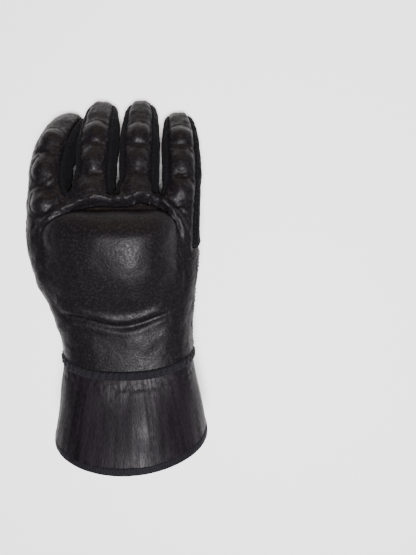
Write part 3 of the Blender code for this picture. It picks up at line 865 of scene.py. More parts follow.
def guard_plan(points):
    """Place of each point from the middle of the guard, as shares of half its size."""
    axis, seat = guard_seat()
    across = (points[:, 0] - axis) * 2 / GUARD_BREADTH
    along = (points[:, 1] - seat) * 2 / GUARD_LENGTH
    return across, along


def guard_relief(skin, sizes):
    """The guard: steep towards the fingers, shelved at the wrist, soft at its sides."""
    across, along = guard_plan(skin.points)
    front = step(along, 0.1, 0.9)
    left = across < GUARD_CROWN
    aside = np.abs(across - GUARD_CROWN) / np.where(left, 1.0 + GUARD_CROWN, 1.0 - GUARD_CROWN)
    sharp = np.where(left, lerp(*GUARD_LEFT, front), lerp(*GUARD_RIGHT, front))
    sides = np.clip(1.0 - aside ** sharp, 0.0, 1.0) ** lerp(1.25, 1.0, front)
    fall = np.clip((along - GUARD_BROW) / (1.0 - GUARD_BROW), 0.0, 1.0)
    brow = (1.0 - fall ** 1.7) ** 0.72
    sag = CREASE_WAVE * np.sin(across * 5.2 + 0.6) - CREASE_SAG * (across - CREASE_MIDDLE) ** 2
    below = along + sag * step(-along, -0.3, 0.8)
    back = np.clip((GUARD_CREST - below) / (1.0 + GUARD_CREST), 0.0, 1.0)
    lift = sizes.guard * sides * brow * (1.0 - back ** 1.75) ** 1.30
    crease = (along + 1.0 + sag) * GUARD_LENGTH / 2
    depth = sizes.shelf * (1.0 - step(np.abs(across - CREASE_MIDDLE), 0.62, 1.0))
    lift -= depth * bell(crease, CREASE_WIDTH)
    for place, width, height in CREASE_LIPS:
        lift += depth * height * bell(crease - place, width)
    return lift


def curve_through(places, count):
    """Points along a smooth curve through a few places in plan."""
    places = [Vector(place) for place in places]
    padded = [2 * places[0] - places[1], *places, 2 * places[-1] - places[-2]]
    found = []
    for number in range(len(places) - 1):
        before, start, end, after = padded[number : number + 4]
        for part in range(count):
            t = part / count
            found.append(
                0.5 * (2 * start + (end - before) * t
                       + (2 * before - 5 * start + 4 * end - after) * t * t
                       + (3 * start - before - 3 * end + after) * t ** 3)
            )
    return [*found, places[-1]]


def nearest_on(places, points):
    """Distance in plan of each point to a line of places, its share along it and its side."""
    tree = KDTree(len(places))
    for number, place in enumerate(places):
        tree.insert((place[0], place[1], 0.0), number)
    tree.balance()
    distance, share, side = [], [], []
    for point in points:
        spot, number, gap = tree.find((point[0], point[1], 0.0))
        distance.append(gap)
        share.append(number / (len(places) - 1))
        side.append(point[1] - spot.y)
    return np.array(distance), np.array(share), np.array(side)


def welt_relief(skin, sizes):
    """A raised welt over the knuckles with a crevice between it and the guard."""
    axis, seat = guard_seat()
    places = [
        (axis + across * GUARD_BREADTH / 2, seat + along * GUARD_LENGTH / 2)
        for across, along in WELT_PLACES
    ]
    distance, share, side = nearest_on(curve_through(places, 24), skin.points)
    ends = step(share, 0.02, 0.34) * (1.0 - step(share, 0.72, 1.0))
    facing = step(skin.normals[:, 2], 0.05, 0.35)
    signed = np.where(side > 0, distance, -distance)
    ruffle = 1.0 + sum(height * soft(skin.points, size, seed) for size, seed, height in WELT_RUFFLES)
    welt = sizes.welt * bell(distance, sizes.welt_width / 2) * ruffle
    crevice = sizes.welt * 1.25 * bell(signed + sizes.welt_width * 0.85, sizes.welt_width * 0.30)
    behind = sizes.welt * 0.22 * bell(signed - sizes.welt_width * 0.9, sizes.welt_width * 0.3)
    return facing * ends * (welt - crevice - behind)


def fold_relief(skin, sizes):
    """The named folds of the cloth round the guard, the wrist and the finger roots."""
    axis, seat = guard_seat()
    lift = np.zeros(len(skin.points))
    facing = step(skin.normals[:, 2], -0.1, 0.25)
    for values in FOLD_ROWS:
        fold = Row(FOLD_COLUMNS, values)
        dx = skin.points[:, 0] - (axis + fold.across * GUARD_BREADTH / 2)
        dy = skin.points[:, 1] - (seat + fold.along * GUARD_LENGTH / 2)
        turn = math.radians(fold.turn)
        run = dx * math.cos(turn) + dy * math.sin(turn)
        off = dy * math.cos(turn) - dx * math.sin(turn)
        off = off + 8.0 * run * run
        length, width = fold.length * GUARD_BREADTH / 2, fold.width * GUARD_BREADTH
        lift += fold.height * sizes.fold * bell(run, length) * bell(off, width)
    return lift * facing


def seam_gaps(skin):
    """Distance of each point to the nearest seam between two panels."""
    pairs = skin.seam_edges()
    starts, ends = skin.points[pairs[:, 0]], skin.points[pairs[:, 1]]
    spots = np.concatenate([lerp(starts, ends, quarter / 4) for quarter in range(4)])
    tree = KDTree(len(spots))
    for number, spot in enumerate(spots):
        tree.insert(spot, number)
    tree.balance()
    return np.array([tree.find(point)[2] for point in skin.points])


def seam_relief(skin, gaps, sizes):
    """A groove along each seam, with small puckers that die out away from it."""
    pucker = soft(skin.points, 0.0032, 3)
    lift = -sizes.groove * bell(gaps, 0.0011)
    lift += sizes.groove * 0.55 * bell(gaps - 0.0032, 0.0018)
    lift += sizes.crumple * 0.9 * pucker * bell(gaps - 0.0026, 0.0030)
    return lift


def wrinkle_relief(skin, fingers, sizes):
    """Soft noise over all the cloth, livelier on the fingers and at the wrist."""
    on_finger = step(fingers.share, -0.15, 0.10)
    flank = 1.0 - step(np.abs(guard_plan(skin.points)[0]), 0.0, 1.0)
    calm = (1.0 - on_finger) * flank
    lift = np.zeros(len(skin.points))
    for size, seed, lively, still in WRINKLES:
        lift += sizes.crumple * lerp(lively, still, calm) * soft(skin.points, size, seed)
    return lift


@functools.lru_cache(maxsize=None)
def dressed_hand():
    """The fine skin with its relief, its fingers, thumb and wrist, and its shift in plan."""
    sizes = bpy.context.scene.glove_sizes
    coarse, _, _ = hand_skin(1)
    shift = frame_shift([vert.co for vert in coarse.verts])
    coarse.free()
    shape, lines, thumb = hand_skin(SKIN_LEVEL)
    wrist = Wrist(*wrist_loop(shape))
    halve_rows(shape, FINE_ROWS[0] * PALM_LENGTH, FINE_ROWS[1] * PALM_LENGTH)
    skin = Skin(shape)
    shape.free()
    fingers = FingerMap(skin.points, lines)
    pads = finger_relief(skin, fingers, sizes) + thumb_relief(skin, thumb, sizes)
    guard = guard_relief(skin, sizes) * step(skin.normals[:, 2], 0.0, 0.3)
    lift = pads + guard
    lift += welt_relief(skin, sizes)
    lift += fold_relief(skin, sizes)
    lift += seam_relief(skin, seam_gaps(skin), sizes)
    lift += wrinkle_relief(skin, fingers, sizes)
    lift += finger_swell(skin, fingers, sizes)
    skin.lifted = skin.points + skin.normals * lift[:, None]
    skin.lifted[:, 2] = np.maximum(skin.lifted[:, 2], 0.0)
    # The relief as a share of a pad's height. The back cloth's colour takes its painted light on
    # crests and painted shade in hollows from it.
    skin.relief = np.clip(lift / sizes.pad, -1.0, 1.0)
    return skin, wrist, thumb, shift


def frame_shift(points):
    """What moves the hand from its own origin to the frame's."""
    boxes = [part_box(name) for name in PANELS]
    low = min(box[0].x for box in boxes)
    high = max(box[1].x for box in boxes)
    far = max(box[1].y for box in boxes)
    own = [(point.x, point.y) for point in points]
    x = (low + high) / 2 - (min(p[0] for p in own) + max(p[0] for p in own)) / 2
    return np.array((x, far - max(p[1] for p in own), 0.0))


# Meshes from arrays


def mesh_object(name, points, faces, runs=None, relief=None, smooth_angle=60.0):
    """A smooth-shaded object at its place in the frame, from points and faces."""
    mesh = bpy.data.meshes.new(name)
    shift = dressed_hand()[3]
    mesh.from_pydata((np.asarray(points) + shift).tolist(), [], [list(face) for face in faces])
    if runs is not None:
        layer = mesh.uv_layers.new(name="cloth")
        layer.uv.foreach_set("vector", np.asarray(runs, np.float32).ravel())
    if relief is not None:
        attribute = mesh.attributes.new("relief", "FLOAT", "POINT")
        attribute.data.foreach_set("value", np.asarray(relief, np.float32))
    mesh.shade_smooth()
    mesh.set_sharp_from_angle(angle=math.radians(smooth_angle))
    obj = bpy.data.objects.new(name, mesh)
    bpy.context.scene.collection.objects.link(obj)
    return obj


def face_outwards(obj):
    """Turns the faces of a closed piece outwards."""
    shape = bmesh.new()
    shape.from_mesh(obj.data)
    bmesh.ops.recalc_face_normals(shape, faces=shape.faces[:])
    shape.to_mesh(obj.data)
    shape.free()
    obj.data.update()
    return obj


def panel_piece(name, panel, sizes):
    """A panel of the dressed skin as a closed wall, drawn back from its seams."""
    skin = dressed_hand()[0]
    number = PANELS.index(panel)
    starts, ends, open_sides = skin.rim(number)
    pull = skin.pulls(number) * SEAM_GAP / 2
    used, faces = np.unique(skin.faces[skin.panels == number], return_inverse=True)
    faces = faces.reshape(-1, 4)
    outer = skin.lifted[used] + pull[used]
    inner = skin.points[used] + pull[used] - skin.normals[used] * sizes.wall
    places = np.concatenate([outer, inner])
    places[:, 2] = np.maximum(places[:, 2], 0.0)
    count = len(used)
    new_number = np.full(len(skin.points), -1)
    new_number[used] = np.arange(count)
    a, b = new_number[starts[open_sides]], new_number[ends[open_sides]]
    rim = np.stack([b, a, a + count, b + count], axis=1)
    whole = np.concatenate([faces, faces[:, ::-1] + count, rim])
    runs = skin.runs[skin.panels == number]
    flat = runs.reshape(-1, 2)
    after = np.roll(runs, -1, axis=1).reshape(-1, 2)
    at_a, at_b = flat[open_sides], after[open_sides]
    rim_runs = np.stack([at_b, at_a, at_a, at_b], axis=1)
    all_runs = np.concatenate([runs, runs[:, ::-1], rim_runs])
    relief = np.concatenate([skin.relief[used], np.zeros(count)])
    return mesh_object(name, places, whole, all_runs, relief)


def sheet_piece(name, outer, inner, runs):
    """A closed wall between two grids of points."""
    rows, columns = outer.shape[:2]
    count = rows * columns
    grid = np.arange(count).reshape(rows, columns)
    quads = np.stack([grid[:-1, :-1], grid[:-1, 1:], grid[1:, 1:], grid[1:, :-1]], axis=-1)
    quads = quads.reshape(-1, 4)
    border = [*grid[0, :], *grid[1:, -1], *grid[-1, -2::-1], *grid[-2:0:-1, 0]]
    after = border[1:] + border[:1]
    rim = [(b, a, a + count, b + count) for a, b in zip(border, after)]
    faces = np.concatenate([quads, quads[:, ::-1] + count, np.array(rim)])
    flat = np.concatenate([runs.reshape(-1, 2)] * 2)
    points = np.concatenate([outer.reshape(-1, 3), inner.reshape(-1, 3)])
    return face_outwards(mesh_object(name, points, faces, flat[faces]))


def tube_piece(name, rings, cyclic, along):
    """A closed tube through rings of points, joined end to end or capped."""
    rings = np.asarray(rings)
    count, sides = rings.shape[:2]
    grid = np.arange(count * sides).reshape(count, sides)
    after = np.roll(grid, -1, axis=0) if cyclic else grid[1:]
    before = grid if cyclic else grid[:-1]
    quads = np.stack(
        [before, np.roll(before, -1, axis=1), np.roll(after, -1, axis=1), after], axis=-1
    )
    faces = [list(quad) for quad in quads.reshape(-1, 4)]
    if not cyclic:
        faces += [list(grid[0][::-1]), list(grid[-1])]
    girth = np.linalg.norm(np.roll(rings[0], -1, axis=0) - rings[0], axis=1).sum()
    runs = []
    for face in faces:
        low = min(number % sides for number in face)
        wraps = len(face) == 4 and low == 0 and any(n % sides == sides - 1 for n in face)
        for number in face:
            side = number % sides
            around = sides if wraps and side == 0 else side
            runs.append((around / sides * girth, along[number // sides]))
    return face_outwards(mesh_object(name, rings.reshape(-1, 3), faces, runs))


# Geometry Nodes


def node_group(name, inputs):
    """A geometry node tree with named inputs, and its input and output nodes."""
    tree = bpy.data.node_groups.new(name, "GeometryNodeTree")
    tree.interface.new_socket("Geometry", in_out="INPUT", socket_type="NodeSocketGeometry")
    for label, kind in inputs:
        tree.interface.new_socket(label, in_out="INPUT", socket_type=kind)
    tree.interface.new_socket("Geometry", in_out="OUTPUT", socket_type="NodeSocketGeometry")
    return tree, tree.nodes.new("NodeGroupInput"), tree.nodes.new("NodeGroupOutput")


def end_tree(tree, instances, group_in, group_out):
    """Realizes the instances, gives them their material and ends the tree."""
    realize = tree.nodes.new("GeometryNodeRealizeInstances")
    paint = tree.nodes.new("GeometryNodeSetMaterial")
    tree.links.new(instances, realize.inputs["Geometry"])
    tree.links.new(realize.outputs["Geometry"], paint.inputs["Geometry"])
    tree.links.new(group_in.outputs["Material"], paint.inputs["Material"])
    tree.links.new(paint.outputs["Geometry"], group_out.inputs["Geometry"])


def stitch_tree():
    """Stitches of one length along every line of a mesh."""
    inputs = (
        ("Pitch", "NodeSocketFloat"),
        ("Length", "NodeSocketFloat"),
        ("Thickness", "NodeSocketFloat"),
        ("Material", "NodeSocketMaterial"),
    )
    tree, group_in, group_out = node_group("stitches", inputs)
    new, link = tree.nodes.new, tree.links.new
    curve = new("GeometryNodeMeshToCurve")
    spots = new("GeometryNodeCurveToPoints")
    spots.mode = "LENGTH"
    stitch = new("GeometryNodeMeshUVSphere")
    stitch.inputs["Segments"].default_value = 6
    stitch.inputs["Rings"].default_value = 5
    stitch.inputs["Radius"].default_value = 0.5
    scale = new("ShaderNodeCombineXYZ")
    place = new("GeometryNodeInstanceOnPoints")
    link(group_in.outputs["Geometry"], curve.inputs["Mesh"])
    link(curve.outputs["Curve"], spots.inputs["Curve"])
    link(group_in.outputs["Pitch"], spots.inputs["Length"])
    link(group_in.outputs["Thickness"], scale.inputs["X"])
    link(group_in.outputs["Thickness"], scale.inputs["Y"])
    link(group_in.outputs["Length"], scale.inputs["Z"])
    link(spots.outputs["Points"], place.inputs["Points"])
    link(spots.outputs["Rotation"], place.inputs["Rotation"])
    link(stitch.outputs["Mesh"], place.inputs["Instance"])
    link(scale.outputs["Vector"], place.inputs["Scale"])
    end_tree(tree, place.outputs["Instances"], group_in, group_out)
    return tree


def cell_tree():
    """A low dome at every point of a mesh, turned along the stored outward direction."""
    inputs = (
        ("Width", "NodeSocketFloat"),
        ("Height", "NodeSocketFloat"),
        ("Material", "NodeSocketMaterial"),
    )
    tree, group_in, group_out = node_group("grip_cells", inputs)
    new, link = tree.nodes.new, tree.links.new
    cell = new("GeometryNodeMeshUVSphere")
    cell.inputs["Segments"].default_value = 8
    cell.inputs["Rings"].default_value = 4
    cell.inputs["Radius"].default_value = 0.5
    outwards = new("GeometryNodeInputNamedAttribute")
    outwards.data_type = "FLOAT_VECTOR"
    outwards.inputs["Name"].default_value = "outwards"
    turn = new("FunctionNodeAlignRotationToVector")
    turn.axis = "Z"
    scale = new("ShaderNodeCombineXYZ")
    place = new("GeometryNodeInstanceOnPoints")
    link(outwards.outputs["Attribute"], turn.inputs["Vector"])
    link(group_in.outputs["Width"], scale.inputs["X"])
    link(group_in.outputs["Width"], scale.inputs["Y"])
    link(group_in.outputs["Height"], scale.inputs["Z"])
    link(group_in.outputs["Geometry"], place.inputs["Points"])
    link(cell.outputs["Mesh"], place.inputs["Instance"])
    link(turn.outputs["Rotation"], place.inputs["Rotation"])
    link(scale.outputs["Vector"], place.inputs["Scale"])
    end_tree(tree, place.outputs["Instances"], group_in, group_out)
    return tree


def grown(name, guide, tree, values):
    """The plain mesh that a node tree grows from a guide, which is removed."""
    modifier = guide.modifiers.new("grow", "NODES")
    modifier.node_group = tree
    for item in tree.interface.items_tree:
        if item.in_out == "INPUT" and item.name in values:
            modifier[item.identifier] = values[item.name]
    bpy.context.view_layer.update()
    graph = bpy.context.evaluated_depsgraph_get()
    mesh = bpy.data.meshes.new_from_object(guide.evaluated_get(graph))
    bpy.data.objects.remove(guide, do_unlink=True)
    mesh.name = name
    mesh.shade_smooth()
    obj = bpy.data.objects.new(name, mesh)
    bpy.context.scene.collection.objects.link(obj)
    return obj


def line_guide(lines):
    """A mesh of loose edges along lines of points, in the frame."""
    points, edges = [], []
    shift = dressed_hand()[3]
    for line in lines:
        start = len(points)
        points += [np.asarray(point) + shift for point in line]
        edges += [(start + k, start + k + 1) for k in range(len(line) - 1)]
    mesh = bpy.data.meshes.new("guide")
    mesh.from_pydata([tuple(point) for point in points], edges, [])
    obj = bpy.data.objects.new("guide", mesh)
    bpy.context.scene.collection.objects.link(obj)
    return obj


# Seams


def chains_of(pairs):
    """Edges as lines of point numbers in order."""
    links = {}
    for a, b in pairs:
        links.setdefault(int(a), set()).add(int(b))
        links.setdefault(int(b), set()).add(int(a))
    chains = []
    while links:
        start = next((spot for spot, near in links.items() if len(near) == 1), next(iter(links)))
        chain = [start]
        while links.get(chain[-1]):
            after = links[chain[-1]].pop()
            links[after].discard(chain[-1])
            chain.append(after)
        links = {spot: near for spot, near in links.items() if near}
        chains.append(chain)
    return chains


def eased(line, rounds):
    """A line of points with its jitter averaged out."""
    line = np.array(line)
    for _ in range(rounds):
        line[1:-1] = (line[:-2] + 2 * line[1:-1] + line[2:]) / 4
    return line


# Seams with stitches: the panel that holds them, its neighbour, and how far in they lie.
STITCHED_SEAMS = (
    *[("back_panel", gusset, 0.0014) for gusset in GUSSETS],
    *[(gusset, "back_panel", 0.0014) for gusset in GUSSETS],
    *[("palm_panel", gusset, 0.0014) for gusset in GUSSETS],
    ("palm_panel", "back_panel", 0.0014),
    ("palm_panel", "grip_panel", 0.0012),
    ("palm_panel", "grip_panel", 0.0034),
    ("back_panel", "grip_panel", 0.0014),
    ("thumb_front", "thumb_back", 0.0014),
    ("thumb_back", "thumb_front", 0.0014),
    ("back_panel", "thumb_back", 0.0014),
    ("grip_panel", "thumb_front", 0.0014),
    ("palm_panel", "thumb_front", 0.0014),
)


def seam_lines(lift):
    """Lines beside the seams, on the dressed skin."""
    skin = dressed_hand()[0]
    surface = BVHTree.FromPolygons(skin.lifted.tolist(), skin.faces.tolist())
    lines = []
    for holder, other, offset in STITCHED_SEAMS:
        pulls = skin.pulls(PANELS.index(holder))
        for chain in chains_of(skin.seam_edges(holder, other)):
            if len(chain) < 6:
                continue
            raw = eased(skin.lifted[chain] + pulls[chain] * offset, 6)
            line = []
            for place in raw:
                spot, normal, _, _ = surface.find_nearest(place)
                line.append(np.array(spot + normal * lift))
            lines.append(line)
    return lines


# Pads of the heel


def pad_on(surface, centre, forward, up, size, outline, profile, segments, rings):
    """A pillow seated on a surface, whose lower half follows the cloth under it."""
    length, breadth, height = size
    forward = (forward - up * forward.dot(up)).normalized()
    side = forward.cross(up).normalized()
    shape = bmesh.new()
    bmesh.ops.create_uvsphere(shape, u_segments=segments, v_segments=rings, radius=1.0)
    for vert in shape.verts:
        across, along, level = vert.co
        across_plan, along_plan = outline(across, along)
        start = centre + side * across_plan * breadth / 2 + forward * along_plan * length / 2
        place = surface.ray_cast(start + up * PAD_REACH, -up, 2 * PAD_REACH)[0] or start
        rise = -PAD_SINK if level <= 0.01 else PAD_LIFT + height * profile(across, along)
        vert.co = place + up * rise
    points = np.array([vert.co for vert in shape.verts])
    shape.verts.index_update()
    faces = [[vert.index for vert in face.verts] for face in shape.faces]
    shape.free()
    return points, faces


def round_outline(across, along):
    return across, along


def kidney_outline(across, along):
    """An oval whose far side is hollowed towards the wrist."""
    return across, along - 0.22 * (1.0 - abs(across)) * max(0.0, along)


def patch_outline(across, along):
    """A square with rounded corners."""
    radius = math.hypot(across, along)
    if radius < 1e-6:
        return 0.0, 0.0
    turn = math.atan2(along, across)
    square = (abs(math.cos(turn)) ** 4 + abs(math.sin(turn)) ** 4) ** -0.25
    return across * square, along * square


def moulded_profile(across, along):
    """A flat crown inside a groove and a raised piping at the rim."""
    radius = min(1.0, math.hypot(across, along))
    crown = 0.80 * max(0.0, 1.0 - (radius / 0.84) ** 6) ** 0.5
    piping = 0.85 * math.sqrt(max(0.0, 1.0 - ((radius - 0.93) / 0.07) ** 2))
    return max(crown, piping)


def patch_profile(across, along):
    return max(0.0, 1.0 - math.hypot(across, along) ** 10) ** 0.5


# Wrist and cuff


def wrist_loop(skin):
    """The skin's open edge at the wrist, as points in order round it, and its middle."""
    edges = [edge for edge in skin.edges if edge.is_boundary]
    verts = {vert for edge in edges for vert in edge.verts}
    middle = sum((vert.co for vert in verts), Vector()) / len(verts)

    def turn(vert):
        return math.atan2(vert.co.z - middle.z, vert.co.x - middle.x)

    return [vert.co.copy() for vert in sorted(verts, key=turn)], middle


class Wrist:
    """The edge of the wrist by the turn round its middle, and the cuff that hangs on it."""

    def __init__(self, loop, middle):
        offsets = np.array(loop) - np.array(middle)
        self.middle = np.array(middle)
        self.turns = np.arctan2(offsets[:, 2], offsets[:, 0])
        self.radii = np.hypot(offsets[:, 0], offsets[:, 2])
        self.lags = offsets[:, 1]
        self.drop = SEAM_GAP * 2 + BINDING_WIDTH
        self.mouth = self.middle - (0, self.drop + CUFF_LENGTH, 0)
        self.mouth[2] = MOUTH_DEPTH / 2

    def edge(self, turns):
        radius = np.interp(turns, self.turns, self.radii, period=2 * math.pi)
        lag = np.interp(turns, self.turns, self.lags, period=2 * math.pi)
        spokes = np.stack([np.cos(turns) * radius, lag, np.sin(turns) * radius], axis=-1)
        return self.middle + spokes

    def cuff(self, turns, shares):
        """Points of the cuff's outer face and the directions out of it."""
        turns, shares = np.broadcast_arrays(turns, shares)
        cos, sin = np.cos(turns), np.sin(turns)
        reach = (
            (np.abs(cos) * 2 / MOUTH_BREADTH) ** MOUTH_SQUARENESS
            + (np.abs(sin) * 2 / MOUTH_DEPTH) ** MOUTH_SQUARENESS
        ) ** (-1 / MOUTH_SQUARENESS)
        far = self.mouth + np.stack([cos * reach, -MOUTH_LEAN * sin, sin * reach], axis=-1)
        near = self.edge(turns) - (0, self.drop, 0)
        place = lerp(near, far, shares[..., None])
        height = lerp(self.middle[2], self.mouth[2], shares)
        out = np.stack(
            [place[..., 0] - self.middle[0], np.zeros_like(height), place[..., 2] - height], axis=-1
        )
        return place, unit(out)

    def flap_turn(self, shares, gap):
        """How far round from straight down a flap's edge lies, to leave this gap."""
        below = self.cuff(-math.pi / 2, shares)[0][..., 2]
        radius = lerp(self.middle[2], MOUTH_DEPTH / 2, shares) - below
        return np.arcsin(np.minimum(0.9, gap / 2 / radius))

    def wrap(self, columns, shares):
        """Points of the wrap by column, from one flap's edge to the other's, and share."""
        turn = self.flap_turn(shares, FLAP_GAP)
        return self.cuff(lerp(-math.pi / 2 + turn, 1.5 * math.pi - turn, columns), shares)

    def girth(self, share):
        """Run of the wrap from flap to flap."""
        places = self.wrap(np.linspace(0, 1, 200), np.full(200, share))[0]
        return np.linalg.norm(np.diff(places, axis=0), axis=1).sum()


def wrist_roll_rings(wrist, sizes):
    """Sections of the two puckered rolls that join the hand and the cuff."""
    count, sides = 720, 18
    turns = np.linspace(0, 2 * math.pi, count, endpoint=False)
    edge = wrist.edge(turns)
    out = unit(np.stack([edge[:, 0] - wrist.middle[0], np.zeros(count),
                         edge[:, 2] - wrist.middle[2]], axis=1))
    runs = np.cumsum(np.linalg.norm(edge - np.roll(edge, 1, axis=0), axis=1))
    waves = soft(edge, 0.010, 7)
    phase = runs / sizes.pucker_pitch * 2 * math.pi + 2.4 * waves
    rings = []
    for side in range(sides):
        angle = 2 * math.pi * side / sides
        along = math.cos(angle) * BINDING_WIDTH * 0.60
        dip = 0.34 * math.exp(-((math.cos(angle) * 3.2) ** 2)) * (math.sin(angle) > 0)
        depth = (math.sin(angle) * 0.62 * (1.0 - dip) - 0.12) * BINDING_WALL
        slant = 1.1 * math.cos(angle)
        pucker = BINDING_PUCKER * np.sin(phase + slant) * (0.4 + 0.6 * math.sin(angle))
        shift = np.array((0.0, along - SEAM_GAP - BINDING_WIDTH / 2, 0.0))
        rings.append(edge + shift + out * (depth + pucker)[:, None])
    return np.stack(rings, axis=1), runs


def tape_path(wrist, inset):
    """Columns and shares of the wrap's three free edges, this far in from them."""
    mouth, top = wrist.girth(1.0), wrist.girth(0.2)
    radius = TAPE_CORNER - inset
    columns, shares = [], []

    def add(across, along):
        """A place by its distances in from the flap's edge and from the mouth."""
        share = 1.0 - along / CUFF_LENGTH
        columns.append(across / lerp(top, mouth, max(0.0, (share - 0.2) / 0.8)))
        shares.append(share)

    for number in range(26):
        add(inset, lerp(CUFF_LENGTH * 1.02, TAPE_CORNER, number / 26))
    for number in range(11):
        angle = math.pi / 2 * number / 10
        add(TAPE_CORNER - radius * math.cos(angle), TAPE_CORNER - radius * math.sin(angle))
    for number in range(1, 181):
        add(lerp(TAPE_CORNER, mouth / 2, number / 180), inset)
    mirrored = [1.0 - column for column in reversed(columns[:-1])]
    return np.array(columns + mirrored), np.array(shares + shares[-2::-1])


def tape_rings(wrist):
    """Sections of the tape folded over the wrap's edges."""
    sides = 16
    rings = []
    for side in range(sides):
        angle = 2 * math.pi * side / sides
        flat = abs(math.cos(angle)) ** 0.55 * math.copysign(1, math.cos(angle))
        thick = abs(math.sin(angle)) ** 0.55 * math.copysign(1, math.sin(angle))
        columns, shares = tape_path(wrist, (1.0 - flat) * TAPE_WIDTH / 2)
        place, out = wrist.wrap(columns, shares)
        wave = 1.0 + 0.10 * soft(place, 0.004, 9)
        depth = (thick * (TAPE_WALL + TAPE_SPARE) * wave - TAPE_WALL + 0.0002) / 2
        rings.append(place + out * depth[:, None])
    rings = np.stack(rings, axis=1)
    runs = np.concatenate([[0.0], np.cumsum(np.linalg.norm(np.diff(rings[:, 0], axis=0), axis=1))])
    return rings, runs


def wrap_grids(wrist):
    """Outer and inner grids of the wrap, and the run of its cloth."""
    rows, columns = 70, 300
    inset = 0.0018
    shares = np.linspace(0.0, 1.0 - inset / CUFF_LENGTH, rows)
    across = np.linspace(inset / wrist.girth(0.5), 1.0 - inset / wrist.girth(0.5), columns)
    grid_across, grid_shares = np.meshgrid(across, shares)
    place, out = wrist.wrap(grid_across, grid_shares)
    flat = place.reshape(-1, 3)
    wave = CUFF_WAVE * soft(flat, 0.022, 10).reshape(rows, columns)
    wave += CUFF_STREAK * soft(flat * (1.0, 0.25, 1.0), 0.0055, 11).reshape(rows, columns)
    fall = grid_shares * CUFF_LENGTH
    wave -= CUFF_SEAM * bell(fall - CUFF_SEAM_PLACE, CUFF_SEAM_REACH)
    gather = soft(flat, 0.0026, 14).reshape(rows, columns)
    wave += CUFF_GATHER * gather * bell(fall - CUFF_GATHER_PLACE, CUFF_GATHER_REACH)
    ridge = bell(grid_across - CUFF_RIDGE_PLACE, CUFF_RIDGE_WIDTH)
    wave += CUFF_RIDGE * ridge * step(grid_shares, 0.0, 0.5) * (1.0 - step(grid_shares, 0.52, 1.0))
    outer = place + out * (wave * step(grid_shares, -0.02, 0.05))[..., None]
    inner = place - out * CUFF_WALL
    runs = np.stack([grid_across * wrist.girth(0.5), -fall], axis=-1)
    return outer, inner, runs


def gusset_grids(wrist, wall):
    """Grids of the stretch piece between the flaps, rippled and folded inwards."""
    rows, columns = 60, 90
    shares = np.linspace(0.0, GUSSET_LENGTH / CUFF_LENGTH, rows)
    grid_places, grid_shares = np.meshgrid(np.linspace(-1, 1, columns), shares)
    turn = wrist.flap_turn(grid_shares, FLAP_GAP + 2 * GUSSET_LAP)
    place, out = wrist.cuff(-math.pi / 2 + turn * grid_places, grid_shares)
    fold = GUSSET_FOLD * np.cos(grid_places * math.pi / 2) ** 2
    fold += 0.0011 * np.sin(grid_places * 15.0 + 2.0 * grid_shares) * (1 - grid_places ** 2)
    fold += soft(place.reshape(-1, 3), 0.006, 12).reshape(rows, columns) * 0.0006
    drop = 0.0015 * np.sin(grid_places * 15.0) * step(grid_shares, 0.4, 0.83)
    place[..., 1] -= drop
    inset = TAPE_WALL + SEAM_GAP
    outer = place - out * (inset + fold)[..., None]
    inner = place - out * (inset + fold + wall)[..., None]
    runs = np.stack([grid_places * 0.018, grid_shares * CUFF_LENGTH], axis=-1)
    return outer, inner, runs


# Finishes


